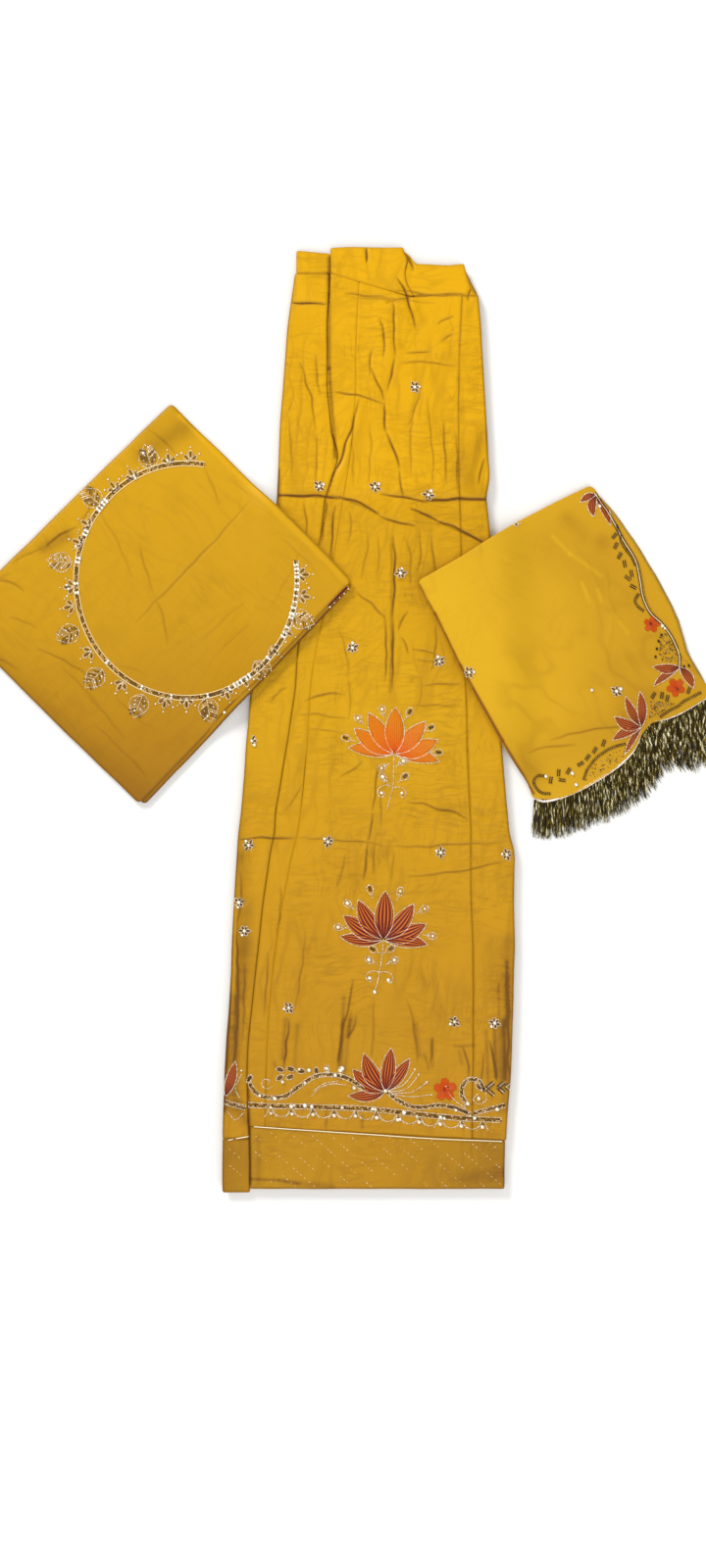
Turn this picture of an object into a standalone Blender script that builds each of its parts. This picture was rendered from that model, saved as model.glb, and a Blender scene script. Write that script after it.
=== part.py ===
"""A folded three-piece festive dress set, laid flat: a long gored skirt folded lengthwise, a blouse piece
folded square that lies on the skirt's left edge, and a sheer fringed veil folded on its right edge.

The tables and sizes are millimetres. X runs across the skirt, Y up it towards the waist, and Z up from the
surface that the set lies on. The origin is under the middle of the whole set."""

import math
import random
from collections import namedtuple

import bmesh
import bpy

MM = 0.001

# Cloth and clearances
WALL = 1.2
GAP = 0.3
ROLL = 3.0
ROLL_DROP = 0.9

# Heights of the skirt's stack
STRIP_REST = 8.0
UPPER_REST = 9.6
LOFT = 0.7
SKIRT_LENGTH = 1023.0
HEM_DROP = 4.2
STRIP_BAND_SEAM = 58.0
STRIP_WAIST_SEAM = 995.0
END_REACH = 80.0

# The pieces that lie on the skirt climb to its top over this stretch outside its outline
CLIMB = 12.4
CLIMB_NEAR = 7.0
CLIMB_FAR = 46.0

# Piles of hidden layers
BLOUSE_PILE = 6.2
VEIL_PILE = 6.4
SECOND_FOLD_SHOWS = 4.6
SECOND_FOLD_WALL = 1.0
SECOND_FOLD_CLEAR = 0.6
SECOND_FOLD_RIM = 1.2
VEIL_ROUND_DROP = 3.0
VEIL_HEM_SAG = 2.6
BLOUSE_ACROSS = 276.0
BLOUSE_DOWN = 330.0
BLOUSE_BOW = 1.5

# Raised bead bands
NECK_CENTRE = (-162.0, 151.0)
NECK_RADII = (119.8, 127.0)
NECK_ENDS = (81.0, 369.0)
NECK_BAND = (7.4, 1.0)
HEM_BEADS = (5.4, 1.0)
EDGE_CORD = (2.2, 1.1)
NECK_STEPS = 56
BAND_CLEAR = 0.25

# Fringe
BRAID_WIDE = 3.0
BRAID_HIGH = 1.4
BRAID_LOW_Z = 3.9
BEND_SHARE = 0.45
BEND_WIDE = 0.6
BEND_THICK = 0.8
TIP_CLEAR = 0.5

Section = namedtuple("Section", "up strip_edge fold_edge left_seam right_seam right_edge")
SKIRT_SECTIONS = (
    Section(0, -123, -93, -77, 146, 180),
    Section(64, -123, -94, -77, 146, 183),
    Section(129, -121, -96, -76, 146, 187),
    Section(216, -115, -89, -71, 146, 189),
    Section(265, -112, -83, -65, 146, 191),
    Section(319, -108, -76, -56, 145, 191),
    Section(367, -106, -70, -47, 145, 192),
    Section(389, -105, -66, -42, 145, 187),
    Section(410, -103, -65, -39, 144, 185),
    Section(488, -97, -52, -31, 141, 178),
    Section(544, -92, -44, -28, 140, 175),
    Section(596, -85, -40, -20, 138, 172),
    Section(654, -77, -29, -9, 136, 170),
    Section(700, -71, -18, -1, 135, 167),
    Section(752, -64, -11, 8, 133, 162),
    Section(771, -63, -5, 11, 132, 165),
    Section(797, -62, 2, 15, 132, 164),
    Section(824, -61, -4, 18, 132, 163),
    Section(866, -58, -9, 21, 132, 160),
    Section(940, -52, -9, 22, 134, 156),
    Section(972, -48, -7, 24, 136, 153),
    Section(1023, -40, -5, 27, 137, 140),
)

SeamPoint = namedtuple("SeamPoint", "across up")
HEM_SEAM = (SeamPoint(-95, 72), SeamPoint(185, 56))
WAIST_SEAM = (
    SeamPoint(-8, 995),
    SeamPoint(60, 975),
    SeamPoint(81, 969),
    SeamPoint(153, 971),
)
BEAD_BAND = (
    SeamPoint(-96, 96),
    SeamPoint(-20, 92),
    SeamPoint(40, 90),
    SeamPoint(90, 85),
    SeamPoint(187, 78),
)
BEAD_BAND_UNDER = (SeamPoint(-121, 98), SeamPoint(-98, 93))
MIDDLE_BAND_TOP = (SeamPoint(-6, 1022), SeamPoint(15, 1023), SeamPoint(72, 1022))
RIGHT_BAND_TOP = (
    SeamPoint(73, 1018),
    SeamPoint(80, 1017),
    SeamPoint(83, 1005),
    SeamPoint(120, 1003),
    SeamPoint(138, 1005),
    SeamPoint(150, 976),
)
MIDDLE_BAND_END = (
    SeamPoint(84, 969),
    SeamPoint(72, 990),
    SeamPoint(78, 1003),
    SeamPoint(72, 1022),
)

# Soft ridges (rise over 0) and troughs (under 0) of the largest folds, each along a straight line
Fold = namedtuple("Fold", "x0 y0 x1 y1 rise width")
SKIRT_FOLDS = (
    Fold(-64, 244, 164, 238, -1.3, 8),
    Fold(-46, 257, 161, 252, 1.1, 9),
    Fold(7, 240, 84, 210, 1.2, 9),
    Fold(82, 227, 158, 192, 1.2, 9),
    Fold(61, 450, 56, 355, 1.3, 10),
    Fold(63, 200, 60, 34, 1.4, 10),
    Fold(60, 34, 36, -131, 1.2, 11),
    Fold(36, -150, 20, -240, 1.1, 10),
    Fold(25, 343, -14, 233, 1.1, 9),
    Fold(-104, -131, 186, -152, -1.2, 9),
    Fold(50, 420, 66, 260, 1.0, 9),
    Fold(95, 330, 100, 262, 0.9, 10),
    Fold(56, -250, 16, -360, 1.1, 10),
    Fold(110, -290, 118, -372, 1.0, 11),
    Fold(176, -275, 178, -385, 1.3, 8),
    Fold(-20, -290, -28, -360, 0.9, 10),
    Fold(110, 120, 104, 60, 0.9, 11),
    Fold(-66, 50, -66, -100, 0.8, 7),
    Fold(-46, 360, -22, 300, 0.8, 8),
)
BLOUSE_FOLDS = (
    Fold(-96, 236, -220, 104, -0.6, 9),
    Fold(-212, 194, -182, 84, -0.5, 9),
    Fold(-314, 187, -279, 211, 1.2, 10),
    Fold(-345, 100, -255, 40, 1.0, 12),
    Fold(-300, 40, -215, -50, 1.1, 12),
    Fold(-240, -10, -190, -60, 0.9, 10),
    Fold(-150, 310, -100, 262, 0.6, 12),
)
VEIL_FOLDS = (
    Fold(262, 185, 283, 142, 0.9, 9),
    Fold(283, 142, 310, 100, 0.8, 9),
    Fold(180, 190, 240, 70, 0.6, 16),
    Fold(225, -20, 300, 0, 0.9, 12),
)

Corner = namedtuple("Corner", "x y")
BLOUSE = {
    "top": Corner(-179, 340),
    "right": Corner(17, 146),
    "bottom": Corner(-210, -91),
    "left": Corner(-415, 110),
}

Place = namedtuple("Place", "x y")
VEIL_LEFT = (Place(89, 147), Place(133, 58), Place(179, -23), Place(211, -70), Place(215, -83))
VEIL_HEAD = (Place(89, 147), Place(276, 251))
VEIL_SCALLOPS = (
    Place(276, 251),
    Place(297, 220),
    Place(311, 194),
    Place(324, 171),
    Place(329, 152),
    Place(332, 132),
    Place(339, 117),
    Place(354, 102),
    Place(366, 84),
    Place(372, 65),
    Place(386, 54),
    Place(404, 29),
)
VEIL_ROUND = (
    Place(276, 251),
    Place(305, 217),
    Place(326, 187),
    Place(346, 156),
    Place(364, 125),
    Place(373, 99),
    Place(377, 78),
    Place(385, 63),
    Place(404, 29),
)
VEIL_HEM = (
    Place(215, -83),
    Place(241, -83),
    Place(263, -75),
    Place(285, -62),
    Place(305, -48),
    Place(321, -31),
    Place(332, -8),
    Place(341, 0),
    Place(362, 5),
    Place(381, 14),
    Place(404, 29),
)

# Fringe, by share of the veil's hem: how far it reaches and which way, in degrees from straight down
Lock = namedtuple("Lock", "share reach lean")
FRINGE = (
    Lock(0.0, 42, -3),
    Lock(0.25, 45, 9),
    Lock(0.5, 50, 20),
    Lock(0.7, 58, 26),
    Lock(0.82, 66, 26),
)
FRINGE_CORNER = (Lock(0.84, 50, 25), Lock(0.92, 46, 19), Lock(1.0, 42, 14))
FRINGE_STRANDS = 120
FRINGE_CORNER_STRANDS = 26

COLOURS = {
    "satin": ((0.66, 0.36, 0.02), 0.42, 0.0),
    "satin_hem": ((0.52, 0.26, 0.03), 0.42, 0.0),
    "chiffon": ((0.78, 0.47, 0.05), 0.6, 0.0),
    "beads": ((0.62, 0.48, 0.24), 0.3, 0.8),
    "metal_fringe": ((0.2, 0.18, 0.07), 0.35, 0.7),
}


def clear_scene():
    for thing in list(bpy.data.objects):
        bpy.data.objects.remove(thing)


def made_material(name):
    colour, roughness, metallic = COLOURS[name]
    material = bpy.data.materials.get(name) or bpy.data.materials.new(name)
    material.use_nodes = True
    shader = material.node_tree.nodes["Principled BSDF"]
    shader.inputs["Base Color"].default_value = (*colour, 1.0)
    shader.inputs["Roughness"].default_value = roughness
    shader.inputs["Metallic"].default_value = metallic
    return material


def smooth(share):
    share = min(1.0, max(0.0, share))
    return share * share * (3 - 2 * share)


def mixed(a, b, share):
    return a + (b - a) * share


def read_table(rows, key, value, at):
    """The value column at a place in the key column, on straight lines between the rows."""
    rows = sorted(rows, key=lambda row: getattr(row, key))
    before = rows[0]
    for row in rows[1:]:
        if at <= getattr(row, key) or row is rows[-1]:
            start, end = getattr(before, key), getattr(row, key)
            return mixed(getattr(before, value), getattr(row, value), (at - start) / (end - start))
        before = row


def edge_at(name, up):
    return read_table(SKIRT_SECTIONS, "up", name, up)


def line_at(points, across):
    return read_table(points, "across", "up", across)


def along(points, share):
    """The place at a share of the length of a line of places."""
    lengths = [math.dist(a, b) for a, b in zip(points, points[1:])]
    left = min(1.0, max(0.0, share)) * sum(lengths)
    for a, b, length in zip(points, points[1:], lengths):
        if left <= length or b is points[-1]:
            return mixed(a.x, b.x, left / length), mixed(a.y, b.y, left / length)
        left -= length


def fold_height(folds, x, y):
    """The summed height of soft ridges and troughs, each one fading out at its two ends."""
    total = 0.0
    for fold in folds:
        dx, dy = fold.x1 - fold.x0, fold.y1 - fold.y0
        share = ((x - fold.x0) * dx + (y - fold.y0) * dy) / (dx * dx + dy * dy)
        nearest = min(1.0, max(0.0, share))
        away = math.hypot(x - fold.x0 - nearest * dx, y - fold.y0 - nearest * dy)
        fade = 0.35 + 0.65 * smooth(5 * nearest) * smooth(5 * (1 - nearest))
        total += fold.rise * fade * math.exp(-((away / fold.width) ** 2))
    return total


def beyond_line(start, end, x, y):
    """How far a place lies to the left of the line from start to end."""
    dx, dy = end[0] - start[0], end[1] - start[1]
    return (dx * (y - start[1]) - dy * (x - start[0])) / math.hypot(dx, dy)


def pressed_down(x, y):
    """1 where the blouse or the veil presses the skirt flat, 0 clear of them."""
    blouse = min(
        beyond_line(BLOUSE["right"], BLOUSE["top"], x, y),
        beyond_line(BLOUSE["bottom"], BLOUSE["right"], x, y),
    )
    veil = min(
        beyond_line(VEIL_LEFT[-1], VEIL_LEFT[0], x, y) * -1,
        beyond_line(VEIL_HEAD[0], VEIL_HEAD[1], x, y) * -1,
    )
    return max(smooth(1 + (blouse - 4) / 16), smooth(1 + (veil - 4) / 16))


def skirt_relief(x, y):
    free = 1 - pressed_down(x, y)
    return max(0.0, free * (LOFT + fold_height(SKIRT_FOLDS, x, y)))


def climb(outside):
    """How high a pile is lifted at a distance outside the skirt's outline."""
    return CLIMB * smooth((CLIMB_FAR - outside) / (CLIMB_FAR - CLIMB_NEAR))


def blouse_climb(x, y):
    return climb(edge_at("strip_edge", y + SKIRT_LENGTH / 2) - x)


def veil_climb(x, y):
    return climb(x - edge_at("right_edge", y + SKIRT_LENGTH / 2))


def spread(low, high, cells, roll_low, roll_high):
    """(place, drop) across a panel: even cells, and a narrow one where an edge rolls down."""
    first = low + ROLL if roll_low else low
    last = high - ROLL if roll_high else high
    places = [(mixed(first, last, i / cells), 0.0) for i in range(cells + 1)]
    if roll_low:
        places.insert(0, (low, ROLL_DROP))
    if roll_high:
        places.append((high, ROLL_DROP))
    return places


def new_object(name, mesh, material):
    bmesh.ops.recalc_face_normals(mesh, faces=mesh.faces)
    data = bpy.data.meshes.new(name)
    mesh.to_mesh(data)
    mesh.free()
    data.materials.append(made_material(material))
    thing = bpy.data.objects.new(name, data)
    bpy.context.scene.collection.objects.link(thing)
    return thing


def quad(mesh, a, b, c, d):
    mesh.faces.new((a, b, c))
    mesh.faces.new((a, c, d))


def perimeter(rows, columns):
    """The (row, column) places round a grid, once round."""
    ring = [(0, c) for c in range(columns)]
    ring += [(r, columns) for r in range(rows)]
    ring += [(rows, c) for c in range(columns, 0, -1)]
    ring += [(r, 0) for r in range(rows, 0, -1)]
    return ring


def grid_faces(mesh, verts, turned):
    """Faces over a grid, cut along the same diagonals on both sides of a wall."""
    for r in range(len(verts) - 1):
        for c in range(len(verts[0]) - 1):
            one, two, three, four = verts[r][c], verts[r][c + 1], verts[r + 1][c + 1], verts[r + 1][c]
            quad(mesh, *((one, four, three, two) if turned else (one, two, three, four)))


def metres(mesh, x, y, z):
    return mesh.verts.new((x * MM, y * MM, z * MM))


def cloth(name, grid, material, wall=WALL):
    """A wall of cloth under a grid of (x, y, z) places on its upper side."""
    mesh = bmesh.new()
    upper = [[metres(mesh, x, y, z) for x, y, z in row] for row in grid]
    lower = [[metres(mesh, x, y, z - wall) for x, y, z in row] for row in grid]
    grid_faces(mesh, upper, False)
    grid_faces(mesh, lower, True)
    ring = perimeter(len(grid) - 1, len(grid[0]) - 1)
    for here, after in zip(ring, ring[1:] + ring[:1]):
        low, high = lower[here[0]][here[1]], upper[here[0]][here[1]]
        low_after, high_after = lower[after[0]][after[1]], upper[after[0]][after[1]]
        quad(mesh, low, low_after, high_after, high)
    return new_object(name, mesh, material)


def outwards(points):
    """For each place of a closed line, the unit direction away from what the line holds."""
    area = sum(a[0] * b[1] - b[0] * a[1] for a, b in zip(points, points[1:] + points[:1]))
    side = 1 if area > 0 else -1
    found = []
    for i, _ in enumerate(points):
        before, after = points[i - 1], points[(i + 1) % len(points)]
        dx, dy = after[0] - before[0], after[1] - before[1]
        size = math.hypot(dx, dy)
        found.append((side * dy / size, -side * dx / size))
    return found


def layered_edge(layers, groove):
    """(reach, share of the height) down a pile's edge from the top's rim: a bulge for each layer."""
    rings = [(0.0, 1.0)]
    for layer in range(layers):
        bulge = ROLL - 0.9 - 0.4 * math.sin(2.6 * layer)
        rings.append((bulge, 1 - (layer + 0.5) / layers))
        if layer < layers - 1:
            rings.append((bulge - groove, 1 - (layer + 1) / layers))
    rings.append((ROLL - groove, 0.0))
    return rings


def pile(name, grid, foot, material, layers=4, groove=1.5):
    """A solid of folded layers over a grid of (x, y, thickness) places, on the foot's height at each place.
    The grid ends one roll inside the outline, and the edge has one bulge for each layer."""
    mesh = bmesh.new()
    ring = perimeter(len(grid) - 1, len(grid[0]) - 1)
    away = dict(zip(ring, outwards([grid[r][c][:2] for r, c in ring])))

    def moved(r, c, reach, share):
        x, y, thick = grid[r][c]
        dx, dy = away.get((r, c), (0, 0))
        reach *= 1 + 0.16 * math.sin(0.9 * (r + c) + 7 * share)
        x, y = x + dx * reach, y + dy * reach
        return metres(mesh, x, y, foot(x, y) + thick * share)

    rings = layered_edge(layers, groove)
    rows, columns = range(len(grid)), range(len(grid[0]))
    upper = [[moved(r, c, *rings[0]) for c in columns] for r in rows]
    lower = [[moved(r, c, *rings[-1]) for c in columns] for r in rows]
    grid_faces(mesh, upper, False)
    grid_faces(mesh, lower, True)
    above = [upper[r][c] for r, c in ring]
    for reach, share in rings[1:-1]:
        below = [moved(*place, reach, share) for place in ring]
        join_rings(mesh, below, above)
        above = below
    join_rings(mesh, [lower[r][c] for r, c in ring], above)
    return new_object(name, mesh, material)


def join_rings(mesh, below, above):
    for i, _ in enumerate(below):
        after = (i + 1) % len(below)
        quad(mesh, below[i], below[after], above[after], above[i])


def stations():
    """Heights up the skirt that its gores are cut at: each section, each crosswise fold, and between."""
    ups = [section.up for section in SKIRT_SECTIONS] + [367, 389, 735, 744, 762]
    ups = sorted(set(ups))
    full = [ups[0]]
    for up in ups[1:]:
        steps = max(1, round((up - full[-1]) / 27))
        start = full[-1]
        full += [mixed(start, up, (i + 1) / steps) for i in range(steps)]
    return full


def gore(name, left, right, low, high, level, cells, rolls=(False, False), material="satin"):
    """A gore between two named edges of the skirt, from its lower seam line to its upper one."""
    lowest, highest = low(0), high(0)
    inner = [up for up in stations() if lowest + 8 < up < highest - 8]
    grid = []
    for up in [lowest, *inner, highest]:
        near_low = max(0.0, 1 - (up - lowest) / END_REACH)
        near_high = max(0.0, 1 - (highest - up) / END_REACH)
        row = []
        start, end = edge_at(left, up), edge_at(right, up)
        for place, drop in spread(start, end, cells, *rolls):
            up_here = up + near_low * (low(place) - lowest) + near_high * (high(place) - highest)
            part = (place - start) / (end - start)
            x = mixed(edge_at(left, up_here), edge_at(right, up_here), part)
            x += GAP / 2 * ((part == 0 and not rolls[0]) - (part == 1 and not rolls[1]))
            y = up_here - SKIRT_LENGTH / 2
            row.append((x, y, level + skirt_relief(x, y) - drop))
        grid.append(row)
    return cloth(name, grid, material)


def build_gores():
    over_strip = STRIP_REST + GAP + WALL
    upper = UPPER_REST + GAP + WALL
    gore(
        "kali_under",
        "strip_edge",
        "fold_edge",
        lambda x: STRIP_BAND_SEAM + GAP / 2,
        lambda x: STRIP_WAIST_SEAM - GAP / 2,
        over_strip,
        2,
        (True, False),
    )
    for name, left, right, cells, rolls in (
        ("kali_left", "fold_edge", "left_seam", 2, (False, False)),
        ("kali_centre", "left_seam", "right_seam", 13, (False, False)),
        ("kali_right", "right_seam", "right_edge", 2, (False, True)),
    ):
        gore(
            name,
            left,
            right,
            lambda x: line_at(HEM_SEAM, x) + GAP / 2,
            lambda x: line_at(WAIST_SEAM, x) - GAP / 2,
            upper,
            cells,
            rolls,
        )


def band(name, xs, low, high, level, rows, material, drops):
    """A band of cloth over places across, between two lines, with its low or high edge rolled down."""
    grid = []
    for share, drop in spread_shares(rows, drops):
        row = []
        for x, side_drop in xs:
            y = mixed(low(x), high(x), share) - SKIRT_LENGTH / 2
            row.append((x, y, level(x, y) - max(drop, side_drop)))
        grid.append(row)
    return cloth(name, grid, material)


def spread_shares(rows, drops):
    shares = [(i / rows, 0.0) for i in range(rows + 1)]
    if drops[0]:
        shares.insert(1, (0.06, 0.0))
        shares[0] = (0.0, ROLL_DROP)
    if drops[1]:
        shares.insert(-1, (0.9, 0.0))
        shares[-1] = (1.0, ROLL_DROP)
    return shares


def build_waistband():
    def strip_level(x, y):
        return STRIP_REST + GAP + WALL + skirt_relief(x, y)

    def upper_level(x, y):
        return UPPER_REST + GAP + WALL + skirt_relief(x, y)

    def middle_level(x, y):
        return upper_level(x, y) + 1.6 * smooth((x - 45) / 25)

    band(
        "waistband_left",
        spread(-43, -6 - GAP, 3, True, False),
        lambda x: STRIP_WAIST_SEAM + GAP / 2,
        lambda x: mixed(1019, 1016, (x + 43) / 37),
        strip_level,
        2,
        "satin",
        (False, True),
    )
    grid = []
    for share, drop in spread_shares(4, (False, True)):
        row = []
        for i in range(9):
            part = i / 8
            end = read_table(MIDDLE_BAND_END, "up", "across", mixed(969, 1022, share))
            x = mixed(-6, end - GAP, part)
            up = mixed(line_at(WAIST_SEAM, x) + GAP / 2, line_at(MIDDLE_BAND_TOP, x), share)
            y = up - SKIRT_LENGTH / 2
            row.append((x, y, middle_level(x, y) - drop))
        grid.append(row)
    cloth("waistband_middle", grid, "satin")
    grid = []
    for share, drop in spread_shares(4, (False, True)):
        row = []
        start = read_table(MIDDLE_BAND_END, "up", "across", mixed(969, 1018, share))
        end = mixed(153, 138, share)
        for i in range(9):
            x = mixed(start, end, i / 8)
            up = mixed(line_at(WAIST_SEAM, x) + GAP / 2, line_at(RIGHT_BAND_TOP, x), share)
            y = up - SKIRT_LENGTH / 2
            row.append((x, y, upper_level(x, y) - (drop if i < 8 else ROLL_DROP)))
        grid.append(row)
    cloth("waistband_right", grid, "satin")


def build_hem_bands():
    def strip_level(x, y):
        return STRIP_REST + GAP + WALL + 0.3

    def upper_level(x, y):
        return UPPER_REST + GAP + WALL + 0.5 * skirt_relief(x, y)

    band(
        "hem_band_under",
        spread(-123, -93.5 - GAP, 2, True, False),
        lambda x: 0.0,
        lambda x: STRIP_BAND_SEAM - GAP / 2,
        strip_level,
        3,
        "satin_hem",
        (True, False),
    )
    band(
        "hem_band",
        spread(-93.5, 181.5, 12, False, True),
        lambda x: HEM_DROP,
        lambda x: line_at(HEM_SEAM, x) - GAP / 2,
        upper_level,
        3,
        "satin_hem",
        (True, False),
    )


def build_skirt_pile():
    """The hidden layers, one step higher under the upper layer than under the strip."""
    grid = []
    for section in SKIRT_SECTIONS:
        first, last = section is SKIRT_SECTIONS[0], section is SKIRT_SECTIONS[-1]
        left, step, right = section.strip_edge + ROLL, section.fold_edge, section.right_edge - ROLL
        places = [(left, STRIP_REST), (mixed(left, step, 0.5), STRIP_REST), (step + 0.1, STRIP_REST)]
        for share in (0, 0.25, 0.5, 0.75, 1):
            places.append((mixed(step + 0.6, right, share), UPPER_REST))
        row = []
        for x, thick in places:
            up = section.up
            if first:
                up = ROLL if x < step + 0.3 else HEM_DROP + ROLL
            elif last:
                up = (1015.5 if x < step + 0.3 else 1021 if x < 62 else 1003) - ROLL
            row.append((x, up - SKIRT_LENGTH / 2, thick))
        grid.append(row)
    pile("skirt_under_layers", grid, lambda x, y: 0.0, "satin")


def blouse_place(across, down):
    """A place in the blouse's square, from millimetres across it, from its top corner towards its right
    one, and down it, towards its left one."""
    across, down = across / BLOUSE_ACROSS, down / BLOUSE_DOWN
    top, right, bottom, left = (BLOUSE[name] for name in ("top", "right", "bottom", "left"))
    x = mixed(mixed(top.x, right.x, across), mixed(left.x, bottom.x, across), down)
    y = mixed(mixed(top.y, right.y, across), mixed(left.y, bottom.y, across), down)
    bow = BLOUSE_BOW * math.sin(2 * math.pi * across) * (1 - down)
    return x - bow, y - bow


def blouse_top_z(x, y):
    relief = max(0.0, 0.5 + fold_height(BLOUSE_FOLDS, x, y))
    return blouse_climb(x, y) + BLOUSE_PILE + GAP + WALL + relief


def build_blouse():
    shows = BLOUSE_ACROSS - SECOND_FOLD_SHOWS
    beside = shows + SECOND_FOLD_CLEAR
    step = WALL + GAP
    downs = spread(0, BLOUSE_DOWN, 17, True, True)
    acrosses = spread(0, shows, 16, True, True)
    front = []
    for down, row_drop in downs:
        row = []
        for across, drop in acrosses:
            x, y = blouse_place(across, down)
            row.append((x, y, blouse_top_z(x, y) - max(drop, row_drop)))
        front.append(row)
    cloth("blouse_front", front, "satin")

    second_top = BLOUSE_PILE - step + GAP + SECOND_FOLD_WALL
    hidden = []
    second = []
    for down, _ in downs[1:-1]:
        row = [(*blouse_place(across, down), BLOUSE_PILE) for across, _ in acrosses[1:-1]]
        for across in (beside, BLOUSE_ACROSS - ROLL):
            row.append((*blouse_place(across, down), BLOUSE_PILE - step))
        hidden.append(row)
        row = []
        rim = BLOUSE_ACROSS - SECOND_FOLD_RIM
        for across, drop in ((beside, 0.0), (rim, 0.0), (BLOUSE_ACROSS, SECOND_FOLD_RIM / 2)):
            x, y = blouse_place(across, down)
            row.append((x, y, blouse_climb(x, y) + second_top - drop))
        second.append(row)
    pile("blouse_under_layers", hidden, blouse_climb, "satin")
    cloth("blouse_second_fold", second, "satin", wall=SECOND_FOLD_WALL)


def ribbon(name, line, wide, thick, height, material):
    """A raised band, crowned from its two rims, along places on a panel whose top height gives."""
    mesh = bmesh.new()
    sections = []
    for i, (x, y) in enumerate(line):
        before, after = line[max(0, i - 1)], line[min(len(line) - 1, i + 1)]
        dx, dy = after[0] - before[0], after[1] - before[1]
        size = math.hypot(dx, dy)
        dx, dy = dx / size, dy / size
        section = []
        for side, lift in ((-0.5, 0), (-0.32, thick), (0.32, thick), (0.5, 0)):
            px, py = x - dy * side * wide, y + dx * side * wide
            section.append(metres(mesh, px, py, height(px, py) + GAP + lift))
        sections.append(section)
    for one, two in zip(sections, sections[1:]):
        for i in range(4):
            after = (i + 1) % 4
            quad(mesh, one[i], one[after], two[after], two[i])
    for end in (sections[0], sections[-1]):
        quad(mesh, *end)
    return new_object(name, mesh, material)


def build_bead_bands():
    ring = []
    for i in range(NECK_STEPS + 1):
        angle = math.radians(mixed(*NECK_ENDS, i / NECK_STEPS))
        x = NECK_CENTRE[0] + NECK_RADII[0] * math.cos(angle)
        y = NECK_CENTRE[1] + NECK_RADII[1] * math.sin(angle)
        ring.append((x, y))
    on_blouse = BAND_CLEAR + 0.1
    ribbon("blouse_neck_band", ring, *NECK_BAND, lambda x, y: blouse_top_z(x, y) + on_blouse, "beads")

    def upper(x, y):
        return UPPER_REST + GAP + WALL + skirt_relief(x, y) + BAND_CLEAR

    def under(x, y):
        return STRIP_REST + GAP + WALL + skirt_relief(x, y) + BAND_CLEAR

    half = SKIRT_LENGTH / 2
    line = [(x, line_at(BEAD_BAND, x) - half) for x in range(-94, 186, 10)]
    ribbon("skirt_bead_band", line, *HEM_BEADS, upper, "beads")
    line = [(x, line_at(BEAD_BAND_UNDER, x) - half) for x in range(-119, -97, 4)]
    ribbon("skirt_bead_band_under", line, *HEM_BEADS, under, "beads")


def patch(left, right, head, foot, across, down):
    """A place in a four-sided patch, from its four edges."""
    top, bottom = along(head, across), along(foot, across)
    one, two = along(left, down), along(right, down)
    corners = (head[0], head[-1], foot[0], foot[-1])
    found = []
    for i in range(2):
        ends = mixed(
            mixed(corners[0][i], corners[1][i], across),
            mixed(corners[2][i], corners[3][i], across),
            down,
        )
        found.append(mixed(top[i], bottom[i], down) + mixed(one[i], two[i], across) - ends)
    return found


def veil_sag(down):
    """How far the veil's layers thin out towards the fringed hem."""
    return VEIL_HEM_SAG * smooth((down - 0.88) / 0.12)


def veil_top_z(x, y, down):
    relief = max(0.0, 0.4 + fold_height(VEIL_FOLDS, x, y))
    return veil_climb(x, y) + VEIL_PILE + GAP + WALL + relief - veil_sag(down)


def veil_columns():
    """Shares across the veil that its layers are cut at, the first one roll inside its left edge."""
    return [ROLL / math.dist(*VEIL_HEAD)] + [i / 13 for i in range(1, 13)] + [1.0]


def build_veil():
    acrosses = veil_columns()
    roll_down = ROLL / math.dist(VEIL_LEFT[0], VEIL_LEFT[-1])
    downs = [roll_down] + [i / 15 for i in range(1, 15)] + [0.97]
    grid = []
    for down in downs:
        thick = VEIL_PILE - veil_sag(down)
        row = []
        for across in acrosses:
            place = patch(VEIL_LEFT, VEIL_SCALLOPS, VEIL_HEAD, VEIL_HEM, across, down)
            row.append((*place, thick))
        edge, bulge = along(VEIL_SCALLOPS, down), along(VEIL_ROUND, down)
        for share in (0.35, 0.7, 0.93):
            x, y = (mixed(a, b, share) for a, b in zip(edge, bulge))
            row.append((x, y, thick - VEIL_ROUND_DROP * share * share))
        grid.append(row)
    pile("veil_under_layers", grid, veil_climb, "chiffon", groove=1.3)
    top = []
    for down in [0.0, *downs, 1.0]:
        row = []
        for across in [0.0, *acrosses]:
            x, y = patch(VEIL_LEFT, VEIL_SCALLOPS, VEIL_HEAD, VEIL_HEM, across, down)
            drop = ROLL_DROP if across == 0 or down == 0 else 0.0
            row.append((x, y, veil_top_z(x, y, down) - drop))
        top.append(row)
    cloth("veil_top", top, "chiffon")
    line = []
    for i in range(45):
        down = mixed(0.03, 0.93, i / 44)
        line.append(patch(VEIL_LEFT, VEIL_SCALLOPS, VEIL_HEAD, VEIL_HEM, 0.985, down))
    on_veil = BAND_CLEAR + 0.2
    ribbon("veil_beaded_edge", line, *EDGE_CORD, lambda x, y: veil_top_z(x, y, 0.5) + on_veil, "beads")


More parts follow.
